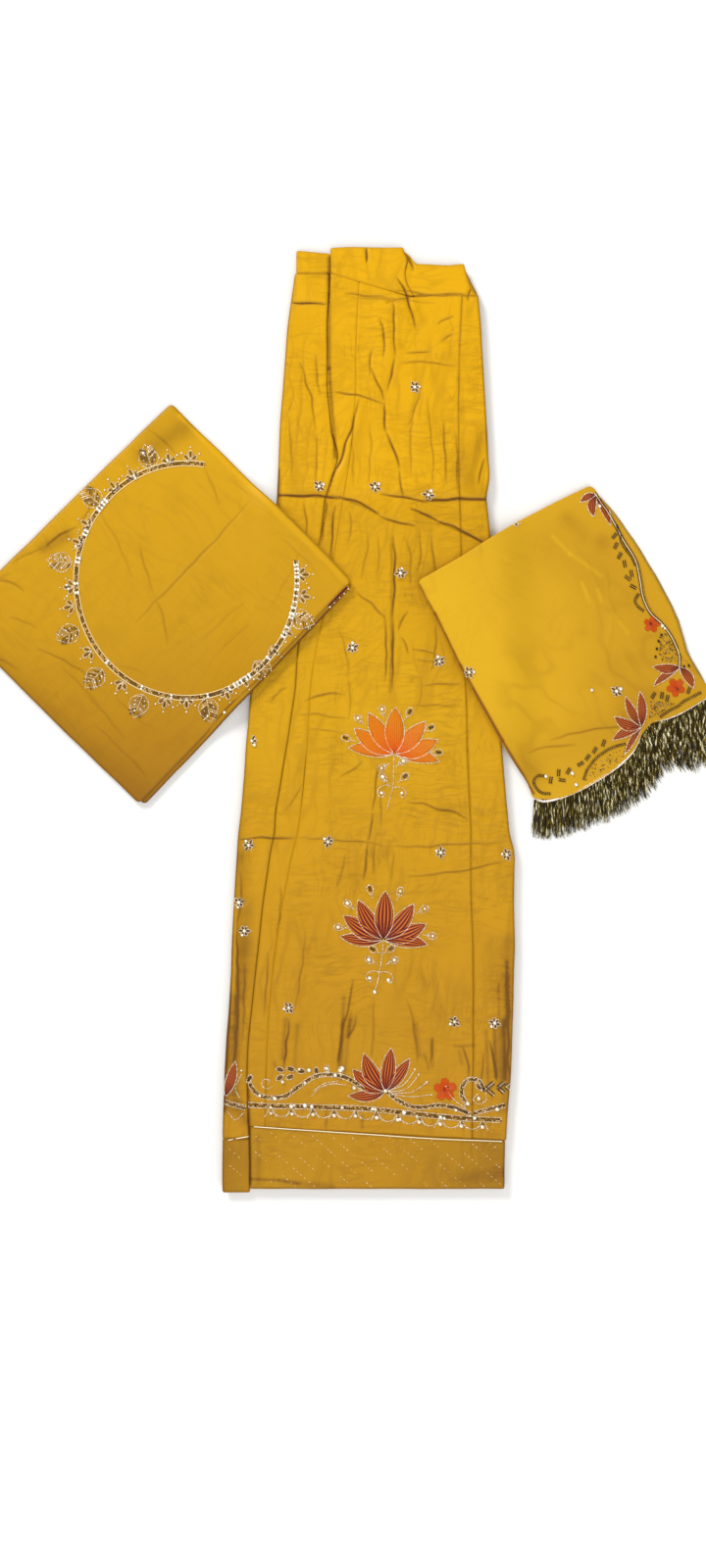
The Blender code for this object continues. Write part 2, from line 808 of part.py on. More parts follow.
def fringe(name, locks, strands, seed):
    """A braid along the veil's hem with strands from its outer side, which fall to the floor and lie on it."""
    chance = random.Random(seed)
    mesh = bmesh.new()
    first, last = locks[0].share, locks[-1].share
    inner, outer = [], []
    cells = 2 * strands + 1
    hem = [Place(*along(VEIL_HEM, across)) for across in [0.0, *veil_columns()]]
    places = [along(hem, mixed(first, last, i / cells)) for i in range(cells + 1)]
    high = BRAID_LOW_Z + BRAID_HIGH
    for i, (x, y) in enumerate(places):
        before, after = places[max(0, i - 5)], places[min(cells, i + 5)]
        dx, dy = after[0] - before[0], after[1] - before[1]
        size = math.hypot(dx, dy)
        for side, away in ((inner, 2 * GAP), (outer, 2 * GAP + BRAID_WIDE)):
            px, py = x + dy / size * away, y - dx / size * away
            side.append([metres(mesh, px, py, z) for z in (BRAID_LOW_Z, high)])
    for i in range(cells):
        one, two, three, four = inner[i], inner[i + 1], outer[i + 1], outer[i]
        for level in (0, 1):
            quad(mesh, one[level], two[level], three[level], four[level])
        quad(mesh, one[0], one[1], two[1], two[0])
    for one, two in ((inner[0], outer[0]), (inner[-1], outer[-1])):
        quad(mesh, one[0], one[1], two[1], two[0])
    for i in range(cells):
        root = (outer[i][0], outer[i + 1][0], outer[i + 1][1], outer[i][1])
        if i % 2 == 0:
            mesh.faces.new(root)
            continue
        share = mixed(first, last, (i + 0.5) / cells)
        strand(mesh, root, locks, share, chance)
    return new_object(name, mesh, "metal_fringe")


def strand(mesh, root, locks, share, chance):
    """One four-sided strand from a face of the braid: down to the floor, then along it to a point."""
    lean = math.radians(read_table(locks, "share", "lean", share) + chance.uniform(-0.5, 0.5))
    reach = read_table(locks, "share", "reach", share) * chance.uniform(0.9, 1.02)
    way = (math.sin(lean), -math.cos(lean))
    x = sum(point.co.x for point in root) / 4 / MM
    y = sum(point.co.y for point in root) / 4 / MM
    low = TIP_CLEAR + chance.uniform(0.1, 0.9)
    high = low + BEND_THICK
    bend_x, bend_y = x + way[0] * reach * BEND_SHARE, y + way[1] * reach * BEND_SHARE
    side_x, side_y = -way[1] * BEND_WIDE / 2, way[0] * BEND_WIDE / 2
    middle = [
        metres(mesh, bend_x - side * side_x, bend_y - side * side_y, z)
        for side, z in ((1, low), (-1, low), (-1, high), (1, high))
    ]
    tip = metres(mesh, x + way[0] * reach, y + way[1] * reach, TIP_CLEAR)
    for i in range(4):
        after = (i + 1) % 4
        quad(mesh, root[i], root[after], middle[after], middle[i])
        mesh.faces.new((middle[i], middle[after], tip))


def main():
    clear_scene()
    build_skirt_pile()
    build_gores()
    build_waistband()
    build_hem_bands()
    build_blouse()
    build_bead_bands()
    build_veil()
    fringe("veil_fringe", FRINGE, FRINGE_STRANDS, 5)
    fringe("veil_fringe_corner", FRINGE_CORNER, FRINGE_CORNER_STRANDS, 8)


main()
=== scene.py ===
# %% [markdown]
# A rajputi poshak is a festive set: a long gored skirt, a blouse piece and a sheer veil. This one lies flat
# and folded, as it is sold: the skirt folded lengthwise, the blouse piece folded to a square on the skirt's
# left edge, and the veil folded on its right edge. The CAD part already holds every panel at its real size,
# so it is loaded first as a fixed frame, and everything below is laid on it.

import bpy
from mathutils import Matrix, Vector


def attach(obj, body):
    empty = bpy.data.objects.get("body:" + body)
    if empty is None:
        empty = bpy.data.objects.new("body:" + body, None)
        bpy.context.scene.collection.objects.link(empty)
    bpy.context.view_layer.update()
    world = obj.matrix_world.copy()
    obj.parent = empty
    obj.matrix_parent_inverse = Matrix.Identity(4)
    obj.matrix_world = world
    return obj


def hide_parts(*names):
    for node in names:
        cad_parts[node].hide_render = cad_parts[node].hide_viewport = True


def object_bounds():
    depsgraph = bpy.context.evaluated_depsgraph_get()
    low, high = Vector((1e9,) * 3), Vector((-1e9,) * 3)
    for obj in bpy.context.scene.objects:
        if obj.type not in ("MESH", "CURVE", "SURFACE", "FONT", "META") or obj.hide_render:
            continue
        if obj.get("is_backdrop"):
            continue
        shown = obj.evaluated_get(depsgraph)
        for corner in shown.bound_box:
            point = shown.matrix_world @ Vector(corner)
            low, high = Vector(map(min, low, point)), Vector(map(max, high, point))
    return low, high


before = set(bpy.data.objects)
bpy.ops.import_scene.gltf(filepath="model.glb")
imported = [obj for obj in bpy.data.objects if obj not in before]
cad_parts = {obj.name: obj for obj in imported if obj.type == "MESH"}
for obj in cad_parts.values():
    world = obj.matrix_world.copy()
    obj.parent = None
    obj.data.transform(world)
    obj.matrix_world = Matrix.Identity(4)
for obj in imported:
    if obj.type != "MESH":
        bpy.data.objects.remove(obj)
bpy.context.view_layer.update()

# %% Modules, and millimetres
import math
import random
from collections import namedtuple

import bmesh
import bpy
import numpy as np
from mathutils import Vector, noise
from mathutils.bvhtree import BVHTree
from mathutils.geometry import delaunay_2d_cdt
from mathutils.kdtree import KDTree

MM = 0.001


def linked(name, data):
    """A new object in the scene."""
    made = bpy.data.objects.new(name, data)
    bpy.context.scene.collection.objects.link(made)
    return made


print("tables below are in millimetres, X across the skirt and Y up it towards the waist")

# %% [markdown]
# The camera looks straight down, as the photograph does, so it needs only a height and a place over the set.
# A 50 mm lens far enough away keeps the skirt's long edges straight. The light is soft and comes from above
# the waist end, low enough for folds to show, with a large pale card over everything to fill the shadows.

# %% Camera
PHOTO_HIGH = 1696.0
LENS = 50.0
SENSOR = 36.0
LOOKS_AT = (18.0, -69.4)
CLOTH_TOP = 12.0

camera = linked("camera", bpy.data.cameras.new("camera"))
camera.data.lens = LENS
camera.data.sensor_width = SENSOR
camera_height = PHOTO_HIGH * LENS / SENSOR + CLOTH_TOP
camera.location = (LOOKS_AT[0] * MM, LOOKS_AT[1] * MM, camera_height * MM)
camera.data.clip_end = 20
bpy.context.scene.camera = camera
bpy.context.scene.view_settings.view_transform = "Standard"
print("camera stands", round(camera_height * MM, 3), "m over the floor")

# %% Lights, and the pale surface the set lies on
Lamp = namedtuple("Lamp", "name x y z size power colour")
LAMPS = (
    Lamp("window", -2.2, 3.2, 2.7, 1.5, 138, (1.0, 0.985, 0.96)),
    Lamp("card", 0.2, -1.2, 3.4, 3.4, 58, (1.0, 0.99, 0.97)),
    Lamp("side", 2.2, -2.8, 1.9, 1.6, 30, (1.0, 0.98, 0.95)),
)


def add_lamp(lamp):
    light = bpy.data.lights.new(lamp.name, "AREA")
    light.shape = "DISK"
    light.size = lamp.size
    light.energy = lamp.power
    light.color = lamp.colour
    stand = linked(lamp.name, light)
    stand.location = (lamp.x, lamp.y, lamp.z)
    aim = Vector((0, 0, 0)) - stand.location
    stand.rotation_euler = aim.to_track_quat("-Z", "Y").to_euler()


for lamp in LAMPS:
    add_lamp(lamp)

world = bpy.data.worlds.new("pale room")
world.use_nodes = True
world.node_tree.nodes["Background"].inputs["Color"].default_value = (1, 1, 1, 1)
world.node_tree.nodes["Background"].inputs["Strength"].default_value = 0.46
bpy.context.scene.world = world

FLOOR_HALF = 6.0
floor_mesh = bpy.data.meshes.new("floor")
corners = [(FLOOR_HALF * x, FLOOR_HALF * y, 0) for x, y in ((-1, -1), (1, -1), (1, 1), (-1, 1))]
floor_mesh.from_pydata(corners, [], [(0, 1, 2, 3)])
floor = linked("floor", floor_mesh)
paper = bpy.data.materials.new("pale floor")
paper.use_nodes = True
paper.node_tree.nodes["Principled BSDF"].inputs["Base Color"].default_value = (0.9, 0.9, 0.89, 1)
paper.node_tree.nodes["Principled BSDF"].inputs["Roughness"].default_value = 0.9
floor_mesh.materials.append(paper)
floor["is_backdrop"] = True
print("lamps:", ", ".join(lamp.name for lamp in LAMPS))

# %% [markdown]
# Every panel of cloth is remade as a fine shell on its CAD solid, so that creases have enough points to bend.
# The way is the same for all of them. The outline of the solid's upper side is read from the frame, smoothed
# between its corners, bowed where the photograph shows an edge that bows, and let wander by half a
# millimetre, because cut cloth is never ruler straight. Then a honeycomb of points is strewn inside it and
# joined to even triangles, and each point takes its height from the solid below.

# %% A panel's outline, read from its solid
UPWARD = 0.6
WELD = 0.02 * MM


def upper_rim(node):
    """The outline of a node's upper side, as (x, y) places once round, anticlockwise."""
    mesh = bmesh.new()
    mesh.from_mesh(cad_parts[node].data)
    bmesh.ops.remove_doubles(mesh, verts=mesh.verts, dist=WELD)
    mesh.normal_update()
    upper = dict.fromkeys(face for face in mesh.faces if face.normal.z > UPWARD)  # in order, unlike a set
    after = {}
    for face in upper:
        for loop in face.loops:
            if sum(other in upper for other in loop.edge.link_faces) == 1:
                after[loop.vert] = loop.link_loop_next.vert
    first = next(iter(after))
    ring = [first]
    while after[ring[-1]] is not first:
        ring.append(after[ring[-1]])
    points = np.array([(vert.co.x, vert.co.y) for vert in ring]) / MM
    mesh.free()
    return points


print("kali_centre has", len(upper_rim("kali_centre")), "points round it")

# %% Smooth between the corners
CORNER_TURN = math.radians(33)


def hermite(start, end, start_way, end_way, share):
    """A place on the curve between two points that leaves and arrives along given ways."""
    s2, s3 = share**2, share**3
    length = np.linalg.norm(end - start)
    along = (s3 - 2 * s2 + share) * length * start_way + (s3 - s2) * length * end_way
    return (2 * s3 - 3 * s2 + 1) * start + (3 * s2 - 2 * s3) * end + along


def ways_of(points):
    """The direction of travel at each point of an open line."""
    steps = np.diff(points, axis=0)
    lengths = np.linalg.norm(steps, axis=1)[:, None]
    units = steps / lengths
    inner = (units[:-1] * lengths[1:] + units[1:] * lengths[:-1]) / (lengths[1:] + lengths[:-1])
    return np.vstack([units[:1], inner, units[-1:]])


def smooth_line(points, spacing):
    """An open line through the points, with places about one spacing apart, without its last one."""
    points = np.asarray(points, float)
    ways = ways_of(points)
    line = []
    for i in range(len(points) - 1):
        count = max(1, round(np.linalg.norm(points[i + 1] - points[i]) / spacing))
        for k in range(count):
            line.append(hermite(points[i], points[i + 1], ways[i], ways[i + 1], k / count))
    return line


def smooth_outline(ring, spacing):
    """A closed line through the ring's points, smooth between the ring's corners."""
    steps = np.roll(ring, -1, axis=0) - ring
    heading = np.arctan2(steps[:, 1], steps[:, 0])
    turn = np.abs((heading - np.roll(heading, 1) + np.pi) % (2 * np.pi) - np.pi)
    corners = [i for i, angle in enumerate(turn) if angle > CORNER_TURN] or [0]
    line = []
    for here, after in zip(corners, corners[1:] + [corners[0] + len(ring)]):
        line += smooth_line([ring[i % len(ring)] for i in range(here, after + 1)], spacing)
    return np.array(line)


WANDER = 0.55
WANDER_LENGTH = 38.0
Bow = namedtuple("Bow", "piece x y dx dy reach")
BOWS = (
    Bow("veil", 192, 206, -1.9, 3.4, 52),
    Bow("blouse", -122, 289, 1.8, 1.9, 62),
    Bow("blouse", -300, 318, -1.0, 1.0, 90),
    Bow("blouse", -275, -10, -1.0, -1.0, 90),
    Bow("skirt", -107, -190, -2.2, 0, 60),
    Bow("skirt", 190, -310, 2.2, 0, 110),
    Bow("skirt", 86, 497, -1.6, -1.2, 5),
    Bow("veil", 240, 232, -0.8, 1.5, 40),
    Bow("veil", 118, 90, 2.4, 1.3, 80),
    Bow("veil_folded_layers", 172, 0, 2.8, 1.5, 75),
)

noise.seed_set(7)  # without it, noise_vector differs from run to run


def wandered(points, *names):
    """The same places, bowed, and moved by a slow unevenness that is alike on both sides of a seam."""
    moved = []
    for x, y in points:
        shift = WANDER * noise.noise_vector(Vector((x, y, 0)) / WANDER_LENGTH)
        for bow in BOWS:
            if bow.piece in names:
                share = math.exp(-((x - bow.x) ** 2 + (y - bow.y) ** 2) / bow.reach**2)
                shift += share * Vector((bow.dx, bow.dy, 0))
        moved.append((x + shift.x, y + shift.y))
    return np.array(moved)


def worn(ring, turns):
    """A closed ring whose corners are rounded off, a little more with each turn."""
    for _ in range(turns):
        ring = 0.5 * ring + 0.25 * (np.roll(ring, 1, axis=0) + np.roll(ring, -1, axis=0))
    return ring


# %% Even triangles inside an outline
def inside(points, ring):
    """True for each point within a closed ring: a line from it crosses the ring an odd number of times."""
    x, y = points[:, 0], points[:, 1]
    odd = np.zeros(len(points), bool)
    for (x0, y0), (x1, y1) in zip(ring, np.roll(ring, -1, axis=0)):
        if y0 != y1:
            crosses = (y0 > y) != (y1 > y)
            odd[crosses] ^= x[crosses] < x0 + (y[crosses] - y0) / (y1 - y0) * (x1 - x0)
    return odd


def search_tree(places):
    tree = KDTree(len(places))
    for i, (x, y) in enumerate(places):
        tree.insert((x, y, 0), i)
    tree.balance()
    return tree


def rim_distance(points, ring):
    """How far each point lies from a closed ring whose places are close together."""
    tree = search_tree(ring)
    return np.array([tree.find((x, y, 0))[2] for x, y in points])


def nearest(places, others):
    """For each place, the number of the nearest of some others."""
    tree = search_tree(others)
    return np.array([tree.find((x, y, 0))[1] for x, y in places])


def triangles_in(ring, spacing):
    """(places, triangles) inside a ring. The first places are the ring itself."""
    low, high = ring.min(0), ring.max(0)
    row_step = spacing * math.sqrt(3) / 2
    rows = np.arange(low[1], high[1], row_step)
    across = np.arange(low[0], high[0] + spacing, spacing)
    grid = np.array([(x + (i % 2) * spacing / 2, y) for i, y in enumerate(rows) for x in across])
    grid = grid[inside(grid, ring)]
    grid = grid[rim_distance(grid, ring) > 0.6 * spacing]
    places = np.vstack([ring, grid])
    edges = [(i, (i + 1) % len(ring)) for i in range(len(ring))]
    found = delaunay_2d_cdt([Vector(p) for p in places], edges, [], 1, 1e-5)
    return np.array([(v.x, v.y) for v in found[0]]), np.array([tuple(f) for f in found[2]])


# %% Heights from the solid below
SPREAD_TURNS = 70


def node_tree(node):
    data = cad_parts[node].data
    return BVHTree.FromPolygons([v.co for v in data.vertices], [tuple(p.vertices) for p in data.polygons])


def evened(values, triangles, turns):
    """Values at mesh points, each turn drawn half way to the mean of their neighbours."""
    pairs = np.vstack([triangles[:, [0, 1]], triangles[:, [1, 2]], triangles[:, [2, 0]]])
    count = np.bincount(pairs.ravel(), minlength=len(values))
    for _ in range(turns):
        total = np.bincount(pairs[:, 0], values[pairs[:, 1]], len(values))
        total += np.bincount(pairs[:, 1], values[pairs[:, 0]], len(values))
        values = 0.5 * values + 0.5 * total / count
    return values


def solid_heights(node, places, triangles, distance, rolled):
    """The height of a node's upper side at each place, read clear of its rolled rim and evened out."""
    tree = node_tree(node)
    heights = np.full(len(places), np.nan)
    for i in np.flatnonzero(distance > rolled):
        hit = tree.ray_cast(Vector((places[i][0] * MM, places[i][1] * MM, 1)), Vector((0, 0, -1)))[0]
        if hit:
            heights[i] = hit.z / MM
    known, unknown = np.flatnonzero(~np.isnan(heights)), np.flatnonzero(np.isnan(heights))
    heights[unknown] = heights[known[nearest(places[unknown], places[known])]]
    return evened(heights, triangles, SPREAD_TURNS)

# %% [markdown]
# Folded satin keeps sharp creases: a narrow trough with a low ridge on one side of it. The main ones are
# listed one row each, with a bow where the crease is curved. Between them the cloth has many small
# crinkles, which are drawn with a fixed seed so that each run gives the same cloth. Every crease also leaves
# a tone on the mesh, which the satin's colour reads later as painted shade, darkest in the trough.

# %% Creases, listed one row each
Crease = namedtuple("Crease", "x0 y0 x1 y1 bow rise width")
SKIRT_CREASES = (
    (25, 346, -14, 233, 2, -1.25, 2.3), (30, 345, -6, 236, 2, 0.7, 6), (-3, 356, 53, 342, 1, -0.8, 1.7),
    (36, 381, 52, 344, 2, -0.8, 1.8), (52, 344, 54, 310, -2, -1, 1.9), (54, 310, 68, 270, 2, -1, 1.8),
    (68, 270, 73, 238, -1, -0.8, 1.7), (46, 436, 51, 392, 2, -0.8, 2.2), (38, 400, 37, 372, -2, -0.7, 1.9),
    (61, 454, 62, 392, 1, -0.9, 2), (62, 392, 55, 356, 1, -0.9, 1.9), (65, 480, 86, 422, 3, -1.2, 2.2),
    (71, 478, 90, 424, 3, 0.8, 4), (8, 460, 56, 456, 1, -0.7, 1.8), (52, 451, 146, 459, 4, -0.8, 2),
    (58, 466, 134, 458, -2, -0.7, 2), (-50, 452, -11, 450, 0, -1.1, 1.9), (-40, 388, -22, 312, 3, -0.7, 4),
    (-24, 398, -18, 350, 1, -0.6, 4), (-22, 312, -24, 250, 2, -0.5, 3.6), (-52, 330, -48, 256, 1, -0.5, 4.2),
    (73, 396, 104, 399, -1, -0.7, 1.8), (70, 386, 134, 382, 2, -0.6, 1.9), (110, 428, 127, 438, 1, -0.6, 2),
    (114, 409, 127, 418, 1, -0.6, 2), (90, 360, 78, 318, 2, -0.6, 2.6), (98, 349, 104, 256, 2, -0.5, 3.4),
    (84, 330, 80, 262, -2, -0.5, 3.2), (114, 330, 118, 252, 2, -0.6, 3), (128, 310, 131, 246, 1, -0.6, 2.6),
    (16, 330, 18, 250, 1, -0.4, 3.6), (36, 326, 34, 254, 2, -0.4, 3.6), (-63, 243, 4, 240, 1, -1.5, 2.3),
    (4, 241, 46, 222, 3, -1.2, 2.1), (46, 222, 86, 210, -2, -1, 2), (46, 243, 100, 236, 2, -1.2, 2.1),
    (98, 237, 164, 238, 1, -1.4, 2.4), (80, 228, 112, 213, 2, -0.9, 2), (110, 214, 160, 191, 2, -1.1, 2.1),
    (-58, 249, 160, 247, 2, 0.7, 5), (-11, 240, -19, 186, 2, -1, 1.9), (-1, 234, -5, 172, -2, -1, 1.8),
    (-36, 236, -34, 196, 2, -0.7, 2.2), (14, 228, 12, 190, 2, -0.5, 2.8), (34, 206, 27, 152, 2, -0.5, 3),
    (46, 200, 44, 150, 1, -0.4, 3), (62, 200, 60, 104, 2, -1.1, 2), (60, 110, 60, 30, 1, -1.3, 2),
    (52, 112, 53, 40, 2, -0.8, 1.8), (90, 208, 88, 160, 2, -0.6, 2.6), (104, 204, 110, 148, -2, -0.6, 2.6),
    (76, 196, 79, 146, 2, -0.5, 2.6), (20, 140, 54, 108, 1, -0.7, 1.5), (66, 98, 77, 118, 1, -0.7, 1.8),
    (70, 90, 78, 70, 2, -0.7, 2), (82, 76, 110, 70, 1, -0.6, 1.8), (86, 66, 118, 62, -1, -0.5, 1.7),
    (87, 36, 136, 40, 1, -0.6, 2), (78, 14, 134, 16, 1, -0.5, 1.9), (108, 104, 103, 50, 2, -0.6, 3.2),
    (92, 50, 86, 8, 2, -0.5, 3), (2, 100, 13, 46, 3, -0.5, 3.4), (13, 46, 12, 0, 2, -0.4, 3),
    (-35, 20, 8, 28, 3, -0.7, 2), (-42, 6, 12, 2, 2, -0.5, 1.8), (-36, -10, 10, -16, 2, -0.4, 1.8),
    (-70, 20, -52, 36, 2, -0.5, 2.2), (29, -45, 2, -63, 1, -0.5, 1.9), (76, -88, 144, -107, 2, -0.8, 1.7),
    (44, -48, 39, -101, 1, -0.8, 1.9), (39, -101, 34, -132, 1, -0.8, 1.9), (48, -70, 47, -120, 1, -0.5, 2.2),
    (-35, -68, -58, -102, 1, -0.5, 1.9), (-108, -131, -44, -128, 2, -1, 2.2),
    (-44, -128, 60, -137, 2, -0.6, 2.4), (60, -137, 186, -131, -2, -0.6, 2.4),
    (75, -171, 187, -151, -3, -0.7, 1.9), (34, -133, 30, -176, 1, -0.9, 2.4),
    (41, -136, 38, -168, 1, -0.6, 2.4), (10, -144, 0, -182, 1, -0.5, 2.8), (62, -142, 58, -176, 1, -0.5, 3),
    (17, -280, 3, -352, 2, -1, 2.8), (8, -318, 0, -380, 1, -0.9, 2.4), (23, -318, 12, -346, 1, -0.7, 2.2),
    (-34, -226, -46, -314, 2, -0.6, 4), (-52, -322, -58, -380, 1, -1.1, 3.6),
    (-74, -250, -80, -322, 2, -0.7, 3.6), (-60, -180, -66, -236, 2, -0.6, 4),
    (40, -300, 36, -368, 2, -0.5, 3.4), (76, -300, 88, -374, 2, -0.6, 3), (104, -340, 100, -372, 2, -0.6, 3),
    (136, -352, 144, -390, 2, -0.9, 3.6), (166, -346, 173, -392, 1, -1.2, 3.6),
    (184, -270, 186, -392, 1, -1.2, 2.8), (158, -360, 156, -396, 1, -0.8, 3),
    (-107, -220, -112, -392, 2, -1.2, 3.2), (-116, -276, -120, -384, 1, -1, 2.6),
    (-99, -262, -103, -350, 1, -0.6, 3), (-104, -160, -108, -226, 2, -0.6, 3.4),
    (154, 254, 160, 284, 1, -0.8, 5), (142, 452, 148, 470, 1, -0.9, 2.2), (31, 512, 32, 494, 0, -1.2, 1.8),
    (72, 506, 82, 486, 2, -1, 1.8), (10, 461, 78, 449, 1, -0.4, 1.4), (10, 456, 108, 450, 2, -0.4, 1.4),
)
BLOUSE_CREASES = (
    (-95, 236, -220, 104, 2, -0.8, 1.7), (-99, 242, -214, 118, 2, 0.4, 4),
    (-212, 194, -197, 134, -2, -0.7, 1.6), (-197, 134, -182, 82, 2, -0.7, 1.6),
    (-143, 274, -126, 232, 1, -0.6, 1.5), (-258, 228, -220, 153, 2, -0.5, 1.7),
    (-146, 84, -96, 128, 2, -0.4, 1.6), (-130, 70, -92, 104, 1, -0.4, 1.6), (-240, 60, -205, 46, 2, -0.3, 2),
    (-316, 186, -279, 211, 3, -1.3, 4.4), (-279, 211, -262, 244, -2, -0.9, 4),
    (-352, 168, -318, 186, 2, -0.7, 3), (-366, 152, -338, 138, 3, -1, 2.6),
    (-390, 132, -352, 158, 3, -0.7, 3), (-326, 78, -262, 42, 3, -0.9, 3.6),
    (-356, 112, -322, 98, 2, -0.6, 2.6), (-300, 60, -254, 12, 2, -0.6, 3.6), (-376, 70, -342, 52, 2, -0.7, 3),
    (-274, 30, -228, -22, 2, -0.6, 4.4), (-240, 26, -196, -10, -3, -0.5, 4.2),
    (-262, -4, -214, -54, 2, -0.6, 3.6), (-226, -40, -206, -62, 1, -0.7, 2.6),
    (-206, 316, -166, 280, 3, -0.5, 5), (-176, 300, -120, 250, 3, 0.5, 6), (-60, 196, -20, 158, 2, -0.4, 3),
    (-32, 196, -74, 118, 2, -0.3, 3.4),
)
VEIL_CREASES = (
    (252, 196, 283, 142, 3, 0.5, 2), (283, 142, 312, 98, 2, 0.5, 2), (268, 150, 286, 104, 2, 0.45, 2.2),
    (292, 166, 298, 118, -2, 0.4, 2), (240, 172, 262, 140, 2, 0.35, 2.2), (300, 120, 290, 70, 2, 0.4, 2.6),
    (312, 98, 330, 60, 3, 0.35, 2.4), (254, 120, 300, 84, 3, 0.3, 3.2), (230, -22, 330, -6, 3, -0.5, 4.4),
    (206, -36, 262, -26, 2, -0.4, 4), (150, 120, 200, 20, 4, 0.3, 6),
)
print(len(SKIRT_CREASES), len(BLOUSE_CREASES), len(VEIL_CREASES), "creases placed by hand")

# %% Broad strips of painted shade where the cloth turns from the light, and of painted highlight below zero
Shade = namedtuple("Shade", "x0 y0 x1 y1 wide amount")
SKIRT_SHADES = (
    (-119, -300, -122, -420, 5, 0.6), (-95, -387, -93, -502, 1.6, 0.6), (85, -330, 90, -364, 2.4, 0.3),
    (103, -346, 104, -375, 2, 0.35), (95, -362, 100, -377, 1.6, 0.35), (128, -353, 149, -352, 2, 0.3),
    (133, -359, 136, -372, 2, 0.3), (162, -337, 164, -391, 2.2, 0.4), (171, -335, 172, -386, 2.4, 0.6),
    (181, -326, 182, -388, 3.2, 0.65), (-55, -324, -58, -366, 2.6, 0.4), (-67, -371, -63, -379, 2, 0.35),
    (6, -342, 3, -368, 2.4, 0.35), (15, -324, 12, -342, 2.2, 0.4), (-11, -424, -11, -441, 1.6, 0.4),
    (28, -428, 28, -441, 1.6, 0.4), (-109, -300, -110, -405, 4, 0.35), (-108, -415, -98, -434, 6, 0.35),
    (-93, -497, -62, -498, 1.5, 0.5), (-62, -498, -40, -502, 1.5, 0.4), (-45, 440, -40, 260, 18, 0.07),
    (-62, 243, 4, 241, 1.5, 0.5), (-63, 270, -62, 220, 2.4, 0.5), (4, 241, 46, 223, 1.2, 0.35),
    (98, 238, 164, 239, 1.6, 0.5), (112, 214, 163, 190, 1.3, 0.4), (80, 229, 112, 214, 1.2, 0.25),
    (58, 30, 60, 190, 1.2, 0.3), (-42, -330, -46, -380, 2.4, 0.3), (8, -300, 4, -388, 2.2, 0.35),
    (16, -318, 9, -385, 2, 0.3), (-104, -150, -112, -420, 10, 0.22), (-96, -60, -104, -150, 8, 0.1),
    (186, -240, 186, -420, 8, 0.26), (176, -330, 177, -400, 2.4, 0.3), (150, -440, 180, -480, 14, 0.08),
    (-56, -500, -4, -505, 3, 0.3), (140, -497, 176, -492, 9, 0.34), (-84, -452, -84, -500, 3, 0.25),
    (-40, 120, 60, 20, 60, -0.03), (134, 275, 163, 308, 14, 0.2), (100, 150, 130, 60, 26, 0.12),
    (142, 262, 158, 246, 12, 0.12), (168, -240, 172, -292, 12, 0.12), (-8, 500, -8, 380, 2, 0.55),
    (-8, 380, -1, 284, 2, 0.55), (-93, -200, -99, -250, 8, 0.16), (-97, -240, -103, -300, 8, 0.26),
    (-115, -235, -120, -340, 3, 0.5), (-109, -200, -113, -330, 1.6, -0.3),
    (184.5, -262, 184.5, -330, 2.2, 0.5), (175.5, -285, 175.5, -325, 1.6, 0.3),
    (128, 250, 158, 242, 14, 0.08),
)
BLOUSE_SHADES = (
    (-161, 318, -210, 287, 12, 0.3), (-293, 199, -317, 186, 7, 0.35), (-212, -80, -380, 70, 14, 0.22),
    (-205, 320, -160, 338, 20, 0.12), (4, 131, -204, -93, 2.4, 0.6), (-170, 330, 12, 148, 2.6, -0.3),
)
# The first three darken where a hidden flower shows through; the rest are painted shade and highlight.
VEIL_SHADES = (
    (250, 218, 252, 216, 9, 0.2), (264, 206, 268, 200, 9, 0.14), (288, 193, 289, 191, 9, 0.22),
    (230, 190, 280, 160, 30, 0.14), (300, 60, 320, 10, 16, 0.12), (180, -60, 330, 10, 22, 0.12),
    (88.5, 146.5, 106, 114.2, 1.3, 0.9), (106.4, 114.2, 133.8, 57.6, 1.5, 1.1),
    (133.8, 57.6, 178.7, -22.5, 1.7, 1.2), (178.7, -22.5, 213.5, -79.5, 1.5, 0.9),
    (170, -20, 214, -60, 14, 0.12), (234, 199, 253, 180, 2, -0.2), (253, 180, 287, 156, 2, -0.2),
    (266, 148, 274, 128, 1.8, -0.2), (283, 141, 287, 128, 1.8, -0.2), (307, 106, 316, 94, 1.8, -0.2),
    (120, 130, 180, 40, 40, -0.08),
)
SHADES = {"skirt": SKIRT_SHADES, "blouse": BLOUSE_SHADES, "veil": VEIL_SHADES}

# %% Small crinkles, where a stretched noise field crosses zero
Crush = namedtuple("Crush", "seed along across heading depth narrow patch")
SKIRT_CRUSH = (
    Crush(3, 42, 7, 2, 0.3, 0.12, 60),
    Crush(4, 80, 15, 84, 0.36, 0.13, 80),
    Crush(5, 26, 8, 40, 0.25, 0.12, 46),
    Crush(9, 120, 34, 84, 0.9, 0.4, 120),
)
BLOUSE_CRUSH = (
    Crush(6, 60, 14, 46, 0.12, 0.1, 90),
    Crush(7, 50, 16, -43, 0.13, 0.1, 80),
    Crush(10, 120, 46, 46, 0.4, 0.4, 120),
)
VEIL_CRUSH = (
    Crush(8, 50, 22, -50, 0.26, 0.12, 70),
    Crush(11, 120, 60, 20, 0.7, 0.4, 140),
)
PATCH_FROM = -0.25
PATCH_FADE = 0.5
CRUSH_BEND = 5
CRUSH_BEND_LENGTH = 21


